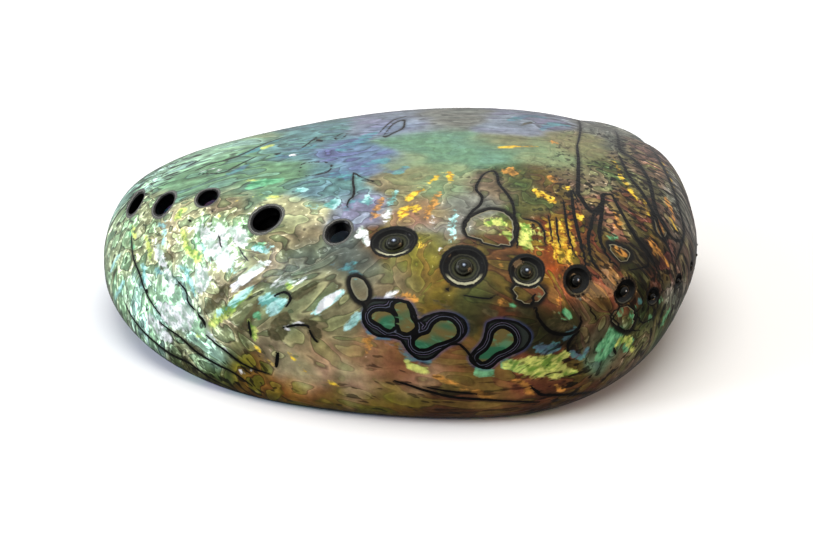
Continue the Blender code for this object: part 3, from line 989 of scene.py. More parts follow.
CLOSE_CONTOURS = (
    (0.30, (157, 320), (167, 328), (180, 337), (194, 350), (216, 364), (234, 373), (254, 387)),
    (0.22, (354, 172), (362, 178), (376, 182)),
    (0.22, (378, 134), (388, 124), (396, 119), (408, 116)),
    (0.47, (361, 301), (364, 306), (366, 311)),
    (0.40, (463, 232), (465, 222), (473, 211), (480, 205), (482, 197), (476, 189), (480, 179), (485, 173)),
    (0.40, (485, 173), (493, 171), (497, 175), (499, 184), (507, 194), (513, 205), (515, 219), (519, 227)),
    (0.40, (519, 227), (517, 238), (517, 254)),
    (0.37, (469, 241), (474, 245), (483, 247), (488, 252)),
    (0.43, (568, 351), (568, 344), (573, 336), (580, 330)),
    (0.59, (594, 212), (591, 226), (588, 240), (592, 263), (606, 280), (615, 296), (617, 309), (610, 319)),
    (0.59, (619, 156), (629, 176), (641, 191), (653, 212), (662, 235), (669, 251), (671, 263)),
    (0.59, (627, 223), (634, 235), (646, 251), (657, 275), (662, 289)),
    (0.46, (638, 308), (636, 316), (642, 322), (652, 316), (655, 306)),
    (0.24, (198, 174), (222, 173), (239, 165), (259, 155)),
    (0.35, (563, 200), (568, 234), (577, 270)),
    (0.27, (548, 214), (552, 244), (552, 266)),
    (0.27, (536, 230), (538, 256)),
    (0.27, (420, 386), (456, 392), (478, 394)),
    (0.30, (308, 326), (312, 336), (319, 344)),
)




# The chain of cut layers below the pores: its outer outlines, and the green islands inside them.
CHAIN_OUTLINES = (
    ((365, 308), (371, 301), (386, 300), (400, 300), (410, 303), (415, 314), (418, 322), (426, 317),
     (441, 313), (454, 315), (464, 321), (466, 331), (459, 340), (449, 345), (441, 350), (431, 358),
     (419, 359), (408, 350), (402, 340), (391, 337), (376, 335), (366, 326), (363, 317)),
    ((470, 359), (473, 353), (482, 343), (486, 333), (488, 324), (499, 320), (514, 322), (527, 330),
     (530, 338), (524, 348), (511, 354), (499, 360), (489, 368), (477, 366)),
)
CHAIN_ISLANDS = (
    ((414, 342), (420, 336), (429, 333), (433, 325), (441, 320), (451, 321), (457, 328), (456, 336),
     (446, 341), (436, 344), (426, 349), (417, 348)),
    ((371, 315), (377, 311), (389, 312), (395, 318), (394, 327), (388, 330), (380, 324), (373, 321)),
    ((393, 305), (403, 302), (409, 308), (411, 318), (416, 326), (408, 333), (400, 330), (398, 316)),
    ((478, 357), (487, 350), (492, 341), (494, 333), (502, 328), (512, 333), (514, 342), (506, 349),
     (496, 353), (488, 360), (481, 362)),
)

# Closed cells of cut layers: each is outlined in black with a pale line inside.
CELLS = (
    ((465, 229), (469, 220), (480, 213), (492, 210), (505, 213), (513, 221), (514, 232), (511, 244),
     (500, 246), (488, 244), (478, 240), (468, 237)),
    ((608, 244), (618, 246), (628, 251), (630, 258), (622, 262), (613, 256)),
    ((350, 281), (357, 277), (366, 284), (369, 294), (364, 302), (355, 297)),
    ((654, 214), (662, 222), (667, 232), (663, 239), (656, 230)),
    ((512, 286), (515, 296), (522, 303), (532, 304), (541, 299), (545, 290), (538, 286), (525, 288)),
    ((611, 318), (618, 309), (628, 306), (634, 316), (629, 329), (618, 328)),
)


def to_linear(code):
    """An sRGB hex colour as linear values."""
    parts = np.array([int(code[place : place + 2], 16) for place in (1, 3, 5)]) / 255.0
    linear = np.where(parts <= 0.04045, parts / 12.92, ((parts + 0.055) / 1.055) ** 2.4)
    return (*[float(part) for part in linear], 1.0)


# The ground under the flashes: soft patches of a few nacre colours, each at a pixel, with its radius
# in millimetres. Those of the far side are placed on the disc. The pale patches along the top left
# rim, the frost ones at the left end and the ash ones along the right edge are painted sheen and
# highlights over pale nacre; the dark olive ones beside the chain are painted shade.
SILVER = to_linear("#a4bd98")
FROST_AND_SHEEN = to_linear("#b4d6c0")
CREAM = to_linear("#c0c39c")
SAGE = to_linear("#98a884")
SEA_GREEN = to_linear("#80a28a")
TEAL = to_linear("#77979a")
SLATE_BLUE = to_linear("#7c8ba6")
LAVENDER = to_linear("#989dac")
KHAKI = to_linear("#949270")
TAN = to_linear("#a8906c")
PINK_TAN = to_linear("#c0a98a")
OLIVE_GOLD = to_linear("#86793c")
OLIVE_GREEN = to_linear("#5f6a42")
COPPER = to_linear("#957650")
BRONZE = to_linear("#6f5a38")
GOLD_BROWN = to_linear("#a07c38")
DARK_BROWN = to_linear("#5c4830")
DARK_OLIVE = to_linear("#3c3c24")
GREY_BROWN = to_linear("#857a62")
UMBER = to_linear("#2e2618")
DARK_ASH = to_linear("#626b66")
ASH = to_linear("#8d8f86")
GROUND = (
    (FROST_AND_SHEEN, 175, 170, 5), (FROST_AND_SHEEN, 205, 158, 5), (FROST_AND_SHEEN, 235, 149, 5), (SILVER, 262, 138, 4),
    (UMBER, 590, 222, 3), (UMBER, 640, 240, 4), (DARK_ASH, 618, 145, 5), (CREAM, 228, 326, 5),
    (CREAM, 296, 366, 4), (SAGE, 290, 332, 5), (PINK_TAN, 420, 378, 5), (KHAKI, 340, 380, 5),
    (SILVER, 113, 250, 7), (FROST_AND_SHEEN, 205, 336, 5), (CREAM, 300, 366, 6), (CREAM, 352, 380, 4),
    (ASH, 682, 210, 6), (ASH, 670, 182, 4), (TAN, 655, 170, 4), (COPPER, 652, 232, 4),
    (ASH, 676, 240, 3), (KHAKI, 645, 345, 5), (SILVER, 118, 300, 7), (SAGE, 135, 245, 5),
    (SAGE, 150, 255, 5), (CREAM, 172, 240, 5), (FROST_AND_SHEEN, 150, 285, 6), (FROST_AND_SHEEN, 175, 300, 8),
    (FROST_AND_SHEEN, 160, 325, 8), (SILVER, 205, 255, 8), (CREAM, 215, 300, 7), (KHAKI, 232, 205, 5),
    (CREAM, 190, 205, 4), (SAGE, 150, 205, 4), (KHAKI, 242, 305, 7), (KHAKI, 270, 325, 8),
    (OLIVE_GREEN, 238, 335, 4), (SAGE, 300, 300, 8), (DARK_ASH, 292, 275, 5), (KHAKI, 285, 250, 6),
    (DARK_ASH, 305, 262, 5), (KHAKI, 310, 240, 5), (KHAKI, 330, 320, 9), (TAN, 310, 350, 8),
    (PINK_TAN, 325, 368, 7), (TAN, 370, 360, 7), (SAGE, 190, 350, 5), (OLIVE_GREEN, 180, 360, 5),
    (OLIVE_GREEN, 215, 378, 5), (OLIVE_GOLD, 260, 385, 6), (GOLD_BROWN, 300, 382, 5),
    (OLIVE_GOLD, 330, 398, 6), (OLIVE_GOLD, 390, 402, 7), (BRONZE, 440, 408, 6), (COPPER, 450, 382, 8),
    (COPPER, 500, 398, 8), (BRONZE, 545, 402, 7), (BRONZE, 590, 388, 8), (GREY_BROWN, 630, 362, 7),
    (COPPER, 400, 365, 7), (PINK_TAN, 360, 385, 6), (BRONZE, 470, 376, 5), (COPPER, 520, 382, 6),
    (BRONZE, 500, 308, 6), (OLIVE_GOLD, 420, 290, 8), (KHAKI, 400, 280, 7), (OLIVE_GOLD, 425, 262, 6),
    (DARK_ASH, 350, 262, 6), (KHAKI, 340, 285, 7), (LAVENDER, 350, 212, 6), (TEAL, 325, 188, 7),
    (CREAM, 300, 215, 6), (SEA_GREEN, 262, 182, 8), (KHAKI, 405, 185, 6), (SAGE, 400, 160, 5),
    (SEA_GREEN, 400, 140, 6), (SEA_GREEN, 440, 142, 10), (SEA_GREEN, 482, 152, 9),
    (SLATE_BLUE, 372, 160, 7), (SLATE_BLUE, 345, 150, 7), (TEAL, 300, 142, 9),
    (SEA_GREEN, 250, 158, 8), (SEA_GREEN, 220, 172, 8), (SEA_GREEN, 190, 185, 6), (TAN, 425, 210, 6),
    (ASH, 445, 222, 7), (ASH, 470, 200, 6), (SAGE, 445, 182, 7), (LAVENDER, 522, 120, 7),
    (LAVENDER, 560, 118, 6), (LAVENDER, 500, 124, 6), (ASH, 450, 118, 8), (LAVENDER, 400, 122, 8),
    (KHAKI, 500, 142, 6), (OLIVE_GREEN, 520, 185, 7), (OLIVE_GREEN, 528, 205, 6),
    (BRONZE, 550, 182, 6), (SAGE, 550, 155, 7), (KHAKI, 590, 150, 9), (KHAKI, 588, 180, 5),
    (GREY_BROWN, 572, 180, 4), (OLIVE_GREEN, 610, 170, 6), (GOLD_BROWN, 556, 240, 8),
    (OLIVE_GOLD, 535, 238, 6), (BRONZE, 585, 245, 5), (TAN, 616, 222, 6), (DARK_BROWN, 636, 225, 5),
    (DARK_OLIVE, 634, 262, 6), (COPPER, 605, 285, 7), (BRONZE, 590, 300, 7), (COPPER, 556, 292, 5),
    (DARK_OLIVE, 556, 322, 6), (GREY_BROWN, 585, 318, 5), (BRONZE, 600, 330, 5),
    (GREY_BROWN, 648, 178, 8), (GREY_BROWN, 668, 210, 8), (BRONZE, 640, 200, 5),
    (GREY_BROWN, 640, 150, 7), (DARK_BROWN, 662, 265, 6), (GREY_BROWN, 676, 262, 6),
    (DARK_OLIVE, 650, 312, 6), (SEA_GREEN, 610, 345, 6), (OLIVE_GREEN, 640, 335, 7),
    (OLIVE_GREEN, 665, 320, 6), (ASH, 672, 300, 5), (DARK_OLIVE, 540, 320, 5),
    (DARK_OLIVE, 470, 310, 5), (GREY_BROWN, 494, 188, 5), (KHAKI, 490, 225, 5), (BRONZE, 500, 262, 6),
    (OLIVE_GREEN, 470, 300, 5), (BRONZE, 380, 250, 5), (SLATE_BLUE, 395, 125, 5), (ASH, 600, 128, 7),
)
FAR_GROUND = (
    (SEA_GREEN, -0.75, 0.35, 10), (TEAL, -0.45, 0.62, 10), (SEA_GREEN, -0.15, 0.75, 10),
    (SLATE_BLUE, -0.55, 0.80, 8), (LAVENDER, 0.10, 0.62, 9), (KHAKI, 0.15, 0.93, 8),
    (SAGE, 0.45, 0.60, 8), (COPPER, 0.45, 0.88, 9), (OLIVE_GREEN, 0.75, 0.62, 9),
    (BRONZE, 0.92, 0.30, 9), (GREY_BROWN, 0.80, 0.10, 9), (DARK_OLIVE, 0.97, 0.05, 8),
    (SILVER, -0.97, 0.10, 8), (SEA_GREEN, -0.90, 0.40, 8), (TEAL, 0.70, 0.40, 8),
    (CREAM, -0.70, 0.55, 7), (FROST_AND_SHEEN, -0.88, 0.22, 6), (TAN, -0.30, 0.90, 7), (SILVER, -0.30, 0.50, 7),
    (KHAKI, -0.05, 0.55, 7), (OLIVE_GOLD, -0.05, 0.95, 7), (SAGE, 0.25, 0.78, 7), (TEAL, 0.05, 0.82, 6),
    (DARK_ASH, 0.62, 0.75, 6), (PINK_TAN, 0.30, 0.60, 6), (GOLD_BROWN, 0.60, 0.50, 6),
    (UMBER, 0.85, 0.48, 6), (SEA_GREEN, 0.55, 0.68, 6), (OLIVE_GREEN, -0.62, 0.70, 6),
)


def at_pixels(pixels):
    """The points of the shell, in millimetres, that show at these pixels."""
    return MM * dome(photo_to_disc(pixels))


def soft_map(spots_here, values, radii, wander):
    """Blends values placed at spots, each over its own radius, along wavering borders."""
    sway = np.zeros_like(spots_mm)
    for turn, length in enumerate((23.0, 11.0, 5.5)):
        angles = spots_mm[:, [1, 2, 0]] / length * 2.0 * np.pi + turn
        sway += wander * length / 23.0 * np.sin(angles + 1.7 * np.sin(angles[:, [2, 0, 1]] * 0.6))
    moved = spots_mm + sway
    total = np.full(count, 1e-9)
    blend = np.zeros((count, values.shape[1]))
    for place, value, radius in zip(spots_here, values, radii):
        weight = np.exp(-2.0 * ((moved - place) ** 2).sum(axis=1) / radius**2) + 1e-6 / radius
        total += weight
        blend += weight[:, None] * value
    return blend / total[:, None]


far_spots = MM * dome(np.array([patch[1:3] for patch in FAR_GROUND]))
ground_spots = np.concatenate([at_pixels([patch[1:3] for patch in GROUND]), far_spots])
ground_values = np.array([patch[0][:3] for patch in (*GROUND, *FAR_GROUND)])
ground_radii = [patch[3] for patch in (*GROUND, *FAR_GROUND)]
ground = soft_map(ground_spots, ground_values, ground_radii, 1.6)

# How strongly the dark growth lines, the small painted glints and the cut layers show, each at a
# pixel, with its radius in millimetres.
LINES = (
    (0.9, 655, 200, 12), (1.0, 640, 250, 10), (0.8, 585, 240, 8), (0.2, 556, 240, 7), (0.5, 575, 160, 7),
    (0.7, 600, 385, 12), (0.45, 480, 402, 12), (0.5, 380, 404, 10), (0.6, 260, 390, 10), (0.5, 170, 355, 8),
    (0.3, 120, 290, 8), (0.0, 300, 330, 14), (0.1, 200, 280, 14), (0.1, 400, 150, 16), (0.15, 500, 150, 10),
    (0.1, 420, 270, 12), (0.2, 480, 330, 10), (0.0, 590, 150, 4), (0.3, 610, 345, 8), (0.1, 280, 180, 12),
)
PAINTED_GLINTS = (
    (1.0, 190, 280, 14), (0.9, 160, 240, 8), (0.8, 245, 300, 10), (0.5, 290, 260, 10),
    (0.25, 320, 320, 10), (0.3, 430, 220, 8), (0.0, 400, 150, 12), (0.0, 480, 150, 12),
    (0.4, 560, 240, 8), (0.6, 650, 210, 10), (0.5, 560, 185, 6), (0.1, 590, 150, 6),
    (0.15, 420, 350, 12), (0.25, 560, 385, 12), (0.2, 260, 385, 10), (0.0, 250, 170, 12),
    (0.4, 620, 345, 8), (0.2, 500, 300, 10), (0.15, 340, 370, 8),
)
CUTS = (
    (1.0, 150, 250, 10), (1.0, 190, 290, 12), (0.9, 240, 300, 12), (0.9, 230, 220, 10), (0.8, 240, 160, 10),
    (0.7, 300, 200, 8), (0.8, 300, 290, 10), (0.6, 300, 340, 9), (0.6, 340, 150, 8), (0.7, 350, 200, 7),
    (0.2, 400, 155, 8), (0.2, 460, 150, 9), (0.25, 520, 150, 8), (0.5, 440, 210, 8), (0.7, 500, 190, 7),
    (0.6, 360, 270, 8), (0.5, 420, 275, 8), (0.3, 420, 378, 8), (0.3, 480, 380, 7), (0.9, 560, 240, 8),
    (0.7, 600, 230, 8), (0.25, 590, 150, 4), (1.0, 650, 180, 8), (1.0, 670, 240, 9), (0.9, 630, 260, 8),
    (0.6, 560, 310, 8), (0.9, 620, 340, 8), (0.8, 540, 365, 6), (0.6, 600, 385, 8), (0.5, 330, 400, 8),
    (0.8, 240, 375, 8), (0.7, 440, 404, 8), (0.6, 470, 115, 6), (0.8, 530, 115, 6), (0.35, 350, 375, 8),
)
# The way the streaks run, in degrees from the picture's level.
WAYS = (
    (-70, 125, 260, 8), (-60, 140, 320, 8), (-50, 190, 250, 9), (-45, 200, 300, 8), (-35, 180, 350, 8),
    (-24, 240, 370, 8), (-8, 310, 395, 9), (40, 330, 300, 8), (35, 260, 290, 7), (-18, 320, 352, 8),
    (20, 230, 165, 9), (25, 290, 145, 8), (10, 400, 130, 10), (25, 420, 150, 8), (5, 500, 130, 10),
    (50, 430, 200, 8), (85, 440, 240, 8), (45, 390, 210, 7), (-14, 390, 378, 9), (-8, 480, 395, 9),
    (5, 560, 392, 8), (35, 630, 365, 8), (60, 665, 320, 7), (85, 560, 180, 7), (-82, 560, 240, 8),
    (90, 590, 150, 7), (-65, 620, 220, 7), (-68, 655, 180, 8), (-75, 675, 230, 8), (-60, 600, 290, 7),
    (-20, 510, 270, 7), (20, 540, 365, 6), (50, 610, 340, 6), (-15, 470, 300, 7), (-40, 290, 240, 8),
)
# The far side: a place on the disc, one strength for all three, and the cosine and sine of twice
# the angle at which the streaks run.
FAR_RADIUS = 12.0
FAR_SIDE = (
    (-0.3, 0.6, 0.4, 1.0, 0.3),
    (0.5, 0.85, 0.7, 0.4, -0.9),
    (0.95, 0.2, 0.9, -0.8, -0.6),
    (-0.9, 0.3, 0.8, -0.6, 0.8),
    (-0.1, 0.9, 0.6, 1.0, -0.3),
    (-0.65, 0.6, 0.7, 0.7, 0.7),
    (0.2, 0.6, 0.4, 1.0, 0.0),
    (0.75, 0.5, 0.8, 0.2, -1.0),
)
far_middles = MM * dome(np.array([place[:2] for place in FAR_SIDE]))
maps = []
for table in (LINES, PAINTED_GLINTS, CUTS, WAYS):
    if table is WAYS:
        turns = [np.radians(2.0 * patch[0]) for patch in table]
        values = [(np.cos(turn), np.sin(turn)) for turn in turns] + [place[3:] for place in FAR_SIDE]
    else:
        values = [patch[:1] for patch in table] + [place[2:3] for place in FAR_SIDE]
    middles = np.concatenate([at_pixels([patch[1:3] for patch in table]), far_middles])
    radii = [patch[3] for patch in table] + [FAR_RADIUS] * len(FAR_SIDE)
    maps.append(soft_map(middles, np.array(values), radii, 1.0))
lines_map, painted_glints_map, cuts_map, ways_map = maps

# Places in the pores, in their own half sizes: 1 is the cut edge of the dish.
PIXELS_PER_MM = 3.93
pore_middles = MM * np.array([tuple(place.translation) for place in pore_frames])
pore_along = np.array([tuple(place.col[0][:3]) for place in pore_frames])
pore_across = np.array([tuple(place.col[1][:3]) for place in pore_frames])
pore_away = np.linalg.norm(spots_mm[:, None] - pore_middles[None], axis=2) / (MM * half_sizes.mean(axis=1))
own_pore = np.argmin(pore_away, axis=1)
offset = spots_mm - pore_middles[own_pore]
pore_u = np.einsum("ij,ij->i", offset, pore_along[own_pore]) / (MM * half_sizes[own_pore, 0])
pore_v = np.einsum("ij,ij->i", offset, pore_across[own_pore]) / (MM * half_sizes[own_pore, 1])
pore_radius = np.clip(np.hypot(pore_u, pore_v), 0.0, 4.0)
half_pixels = PIXELS_PER_MM * MM * half_sizes[own_pore].mean(axis=1)
pore_low = (spot_pixels[:, 1] - to_pixels(pore_middles / MM)[own_pore, 1]) / half_pixels

# Millimetres round the spire and along the growth, for the inner bands, and up from the rim.
heading = np.arctan2(spot_disc[:, 1] - SPIRE[1], spot_disc[:, 0] - SPIRE[0])
ROUND_MM = 60.0
TO_RIM_MM = 65.0
growth_mm = ROUND_MM * growth_age(spot_disc)
rim_mm = TO_RIM_MM * (1.0 - np.hypot(*spot_disc.T))
contour_side, contour_near = line_fields(CONTOURS)
close_side, close_near = line_fields(CLOSE_CONTOURS)
fields = {
    "ground": ground,
    "grain": np.column_stack([ROUND_MM * np.cos(heading), ROUND_MM * np.sin(heading), growth_mm]),
    "line_strength": lines_map[:, 0],
    "glint_strength": painted_glints_map[:, 0],
    "cut_strength": cuts_map[:, 0],
    "streak_way": np.column_stack([ways_map, np.zeros(count)]),
    "cells": loop_field(CELLS),
    "pore_number": own_pore.astype(float),
    "pore_radius": pore_radius,
    "pore_low": np.clip(pore_low, -4.0, 4.0),
    "pore_open": is_open[own_pore].astype(float),
    "depth": spot_depth,
    "rim": rim_mm,
    "contour_side": contour_side,
    "contour_near": contour_near,
    "close_side": close_side,
    "close_near": close_near,
    "chain": loop_field(CHAIN_OUTLINES),
    "islands": loop_field(CHAIN_ISLANDS),
    "pearl": stroke_field(PEARL_AND_HIGHLIGHT),
    "aqua": stroke_field(AQUA),
    "lime": stroke_field(LIME),
    "gold": stroke_field(GOLD),
    "amber": stroke_field(AMBER),
    "mint": stroke_field(MINT),
    "sea_blue": stroke_field(SEA),
    "olive": stroke_field(OLIVE),
}
for name in (
    "is_open", "turn", "half_size", "outward", "off_row", "row_there", "from_suture", "suture_there",
):
    if name in skin.data.attributes:
        skin.data.attributes.remove(skin.data.attributes[name])
for name, values in fields.items():
    add_field(skin.data, name, values)

# The polished outside
# Paua nacre: thin aragonite layers over dark horny ones, ground smooth, buffed and lacquered. The
# layers give it metallic flashes that break at fine growth lines; the lacquer gives a clear gloss.
nacre.use_nodes = True
tree = nacre.node_tree
node = partial(add_node, tree)
principled = tree.nodes["Principled BSDF"]
# A range node's inputs 0 to 4 are its value, where the value starts and ends, and what becomes of these.
# A colour mix takes its two colours at 6 and 7.
EASED = {"interpolation_type": "SMOOTHSTEP"}
BLENDED = {"output": 2, "data_type": "RGBA"}


def lay(under, over, measure, start, full, share=1.0):
    """Lays one colour over another, from where a measure starts to where it is full: nacre, horn, painted
    highlights and painted shade.
    """
    amount = node("ShaderNodeMapRange", {0: measure, 1: start, 2: full, 3: 0.0, 4: share}, **EASED)
    colours = [to_linear(one) if isinstance(one, str) else one for one in (under, over)]
    return node("ShaderNodeMix", {"Factor": amount, 6: colours[0], 7: colours[1]}, **BLENDED)


def set_stops(socket, stops):
    """Gives a colour ramp its stops, each a position and a hex colour."""
    ramp = socket.node.color_ramp
    while len(ramp.elements) > 1:
        ramp.elements.remove(ramp.elements[-1])
    ramp.elements[0].position = stops[0][0]
    ramp.elements[0].color = to_linear(stops[0][1])
    for position, code in stops[1:]:
        ramp.elements.new(position).color = to_linear(code)


read = {}
for name in fields:
    if name != "grain":
        read[name] = node("ShaderNodeAttribute", output="Fac", attribute_name=name)

# Streaks lie along the growth lines. Their way over the shell is blended from six straight ones.
place = node("ShaderNodeTexCoord", output="Object")
place_mm = node("ShaderNodeVectorMath", {0: place, "Scale": MM}, operation="SCALE")
way = read["streak_way"].node.outputs["Vector"]
way_level = node("ShaderNodeSeparateXYZ", {0: way}, output="X")
way_slope = way_level.node.outputs["Y"]
way_weights = {}
for angle in range(0, 180, 30):
    turn = np.radians(2.0 * angle)
    along = node("ShaderNodeMath", {0: way_level, 1: float(np.cos(turn))}, operation="MULTIPLY")
    along = node("ShaderNodeMath", {0: way_slope, 1: float(np.sin(turn)), 2: along}, operation="MULTIPLY_ADD")
    along = node("ShaderNodeMath", {0: along, 1: 0.0}, operation="MAXIMUM")
    way_weights[angle] = node("ShaderNodeMath", {0: along, 1: 4.0}, operation="POWER")


def streaks_of(length, width, detail, distortion=0.0):
    """Noise drawn out to this length and width in millimetres along the way the streaks run."""
    total, weights = 0.0, 0.0
    grain_of = {"Scale": 1.0, "Detail": detail, "Roughness": 0.6, "Distortion": distortion}
    for angle, weight in way_weights.items():
        turned = {"Rotation": (0.0, -np.radians(angle), 0.0), "Scale": (length, width, width)}
        turned = node("ShaderNodeMapping", {"Vector": place_mm, **turned}, vector_type="TEXTURE")
        grains = node("ShaderNodeTexNoise", {"Vector": turned, **grain_of})
        total = node("ShaderNodeMath", {0: grains, 1: weight, 2: total}, operation="MULTIPLY_ADD")
        weights = node("ShaderNodeMath", {0: weight, 1: weights})
    return node("ShaderNodeMath", {0: total, 1: weights}, operation="DIVIDE")


# How far borders waver, in millimetres, with how many waves to a millimetre.
SWAY = 2.2
FINE_SWAY = 0.9
WAVES = 0.42
FINE_WAVES = 1.7
CLOUD_WAVES = 0.09
wobble = node("ShaderNodeTexNoise", {"Vector": place_mm, "Scale": WAVES, "Detail": 3.0, "Roughness": 0.6})
fine_wobble = node("ShaderNodeTexNoise", {"Vector": place_mm, "Scale": FINE_WAVES, "Detail": 2.0})
sway = node("ShaderNodeMath", {0: wobble, 1: -0.5})
sway = node("ShaderNodeMath", {0: sway, 1: SWAY}, operation="MULTIPLY")
fine_sway = node("ShaderNodeMath", {0: fine_wobble, 1: -0.5})
sway = node("ShaderNodeMath", {0: fine_sway, 1: FINE_SWAY, 2: sway}, operation="MULTIPLY_ADD")
layers = streaks_of(26.0, 5.5, 1.3, 0.2)
streaks = streaks_of(14.0, 1.7, 2.0, 0.3)
ribs = streaks_of(6.0, 1.7, 2.0, 0.8)
long_lines = streaks_of(34.0, 1.3, 1.0)
cloudy = {"Scale": CLOUD_WAVES, "Detail": 4.0, "Roughness": 0.6}
clouds = node("ShaderNodeTexNoise", {"Vector": place_mm, **cloudy})
flakes = node("ShaderNodeMix", {"Factor": 0.5, "A": streaks, "B": ribs})

# Each cut layer starts at a dark line, is brightest beside it and has a hue of its own.
LAYERS_CUT = 9.0
HUE_REACH = 0.105
steps = node("ShaderNodeMath", {0: layers, 1: LAYERS_CUT}, operation="MULTIPLY")
in_layer = node("ShaderNodeMath", {0: steps}, operation="FRACT")
layer_number = node("ShaderNodeMath", {0: steps}, operation="FLOOR")
layer_tone = node("ShaderNodeValToRGB", {"Fac": in_layer})
set_stops(layer_tone, (
    (0.00, "#4e4e4e"), (0.07, "#686868"), (0.17, "#bcbcbc"), (0.40, "#a2a2a2"), (0.75, "#8e8e8e"),
    (1.00, "#7c7c7c"),
))
layer_hue = node("ShaderNodeTexWhiteNoise", {"W": layer_number}, output="Value", noise_dimensions="1D")
cut = read["cut_strength"]
hue_reach = node("ShaderNodeMath", {0: cut, 1: HUE_REACH}, operation="MULTIPLY")
hue_turn = node("ShaderNodeMath", {0: layer_hue, 1: -0.5})
hue = node("ShaderNodeMapRange", {0: clouds, 1: 0.3, 2: 0.7, 3: 0.485, 4: 0.525}, **EASED)
hue = node("ShaderNodeMath", {0: hue_turn, 1: hue_reach, 2: hue}, operation="MULTIPLY_ADD")
tone = node("ShaderNodeMapRange", {0: wobble, 1: 0.3, 2: 0.7, 3: 0.80, 4: 1.18}, **EASED)
ground_colour = read["ground"].node.outputs["Color"]
tuned = {"Hue": hue, "Saturation": 1.10, "Value": tone, "Color": ground_colour}
colour = node("ShaderNodeHueSaturation", tuned)
cut_tone = node("ShaderNodeMath", {0: layer_tone, 1: 3.0}, operation="MULTIPLY")
cut_colour = node("ShaderNodeHueSaturation", {"Value": cut_tone, "Color": colour})
colour = node("ShaderNodeMix", {"Factor": cut, 6: colour, 7: cut_colour}, **BLENDED)
fine_tone = node("ShaderNodeMapRange", {0: flakes, 1: 0.35, 2: 0.65, 3: 0.70, 4: 1.28}, **EASED)
toned = node("ShaderNodeHueSaturation", {"Value": fine_tone, "Color": colour})
colour = node("ShaderNodeMix", {"Factor": cut, 6: colour, 7: toned}, **BLENDED)

# Painted glints: small spots where the colour is brightened almost twofold as highlights, thickest at
# the young end.
painted_glint = node("ShaderNodeMath", {0: read["glint_strength"], 1: 0.20, 2: ribs}, operation="MULTIPLY_ADD")
painted_glint = node("ShaderNodeMath", {0: sway, 1: 0.05, 2: painted_glint}, operation="MULTIPLY_ADD")
painted_glint_colour = node("ShaderNodeHueSaturation", {"Saturation": 0.8, "Value": 1.9, "Color": colour})
colour = lay(colour, painted_glint_colour, painted_glint, 0.70, 0.75)

# The flashes drawn above, each with ragged borders and its own shade, light and strength.
FLASHES = (
    ("olive", "#6b6246", "#4c4a30", 0.85),
    ("sea_blue", "#66849e", "#68b0b4", 0.70),
    ("mint", "#4f9c70", "#8fd8a8", 0.85),
    ("amber", "#a07a40", "#eeb05a", 0.80),
    ("gold", "#c08a24", "#ffdf52", 0.92),
    ("lime", "#86b050", "#e8f08e", 0.88),
    ("aqua", "#74b8b0", "#c8f6f2", 0.90),
    # pearl: pale nacre with painted highlights of pure white
    ("pearl", "#b8ccbc", "#ffffff", 0.95),
)
flake_shift = node("ShaderNodeMapRange", {0: flakes, 1: 0.35, 2: 0.65, 3: -0.8, 4: 0.6}, **EASED)
flash_tone = node("ShaderNodeMapRange", {0: wobble, 1: 0.3, 2: 0.7, 3: 0.7, 4: 1.2}, **EASED)
for name, shade, light, strength in FLASHES:
    inside_by = node("ShaderNodeMath", {0: sway, 1: 0.5, 2: read[name]}, operation="MULTIPLY_ADD")
    inside_by = node("ShaderNodeMath", {0: flake_shift, 1: inside_by})
    mixed = lay(shade, light, flakes, 0.45, 0.56)
    toned = node("ShaderNodeHueSaturation", {"Value": flash_tone, "Color": mixed})
    colour = lay(colour, toned, inside_by, -0.35, 0.45, strength)

# Dark growth lines: the horny layers, cut where the lip once was.
line_strength = read["line_strength"]
long_lines = node("ShaderNodeMath", {0: line_strength, 1: 0.12, 2: long_lines}, operation="MULTIPLY_ADD")
line_dark = node("ShaderNodeMapRange", {0: long_lines, 1: 0.62, 2: 0.68, 3: 0.0, 4: 0.85}, **EASED)
line_share = node("ShaderNodeMath", {0: line_strength, 1: 1.6}, operation="MULTIPLY", use_clamp=True)
line_dark = node("ShaderNodeMath", {0: line_dark, 1: line_share}, operation="MULTIPLY")
horn = to_linear("#120e08")
colour = node("ShaderNodeMix", {"Factor": line_dark, 6: colour, 7: horn}, **BLENDED)

# The chain below the pores: black borders with thin violet lines between, and green nacre inside.
waver = node("ShaderNodeMath", {0: sway, 1: 0.12}, operation="MULTIPLY")
chain = node("ShaderNodeMath", {0: read["chain"], 1: waver})
islands = node("ShaderNodeMath", {0: read["islands"], 1: waver})
colour = lay(colour, "#4a5f96", chain, -1.3, -0.1, 0.55)
island_edge = node("ShaderNodeMapRange", {0: islands, 1: -2.4, 2: 0.0}, **EASED)
around = node("ShaderNodeValToRGB", {"Fac": island_edge})
set_stops(around, (
    (0.00, "#3c4440"), (0.18, "#2c3432"), (0.26, "#0a0a0c"), (0.36, "#0a0a0c"), (0.42, "#7d7890"),
    (0.47, "#0a090c"), (0.66, "#0b0a0e"), (0.74, "#6f7484"), (0.80, "#0a090b"), (1.00, "#060606"),
))
island_fill = lay("#3f7a5c", "#7d7248", layers, 0.45, 0.55)
island_fill = lay(island_fill, "#66a884", flakes, 0.50, 0.60, 0.6)
chain_body = lay(around, island_fill, islands, 0.10, 0.22)
colour = lay(colour, chain_body, chain, 0.25, 0.35)
border = node("ShaderNodeMath", {0: chain}, operation="ABSOLUTE")
colour = lay(colour, "#07070a", border, 0.42, 0.28)

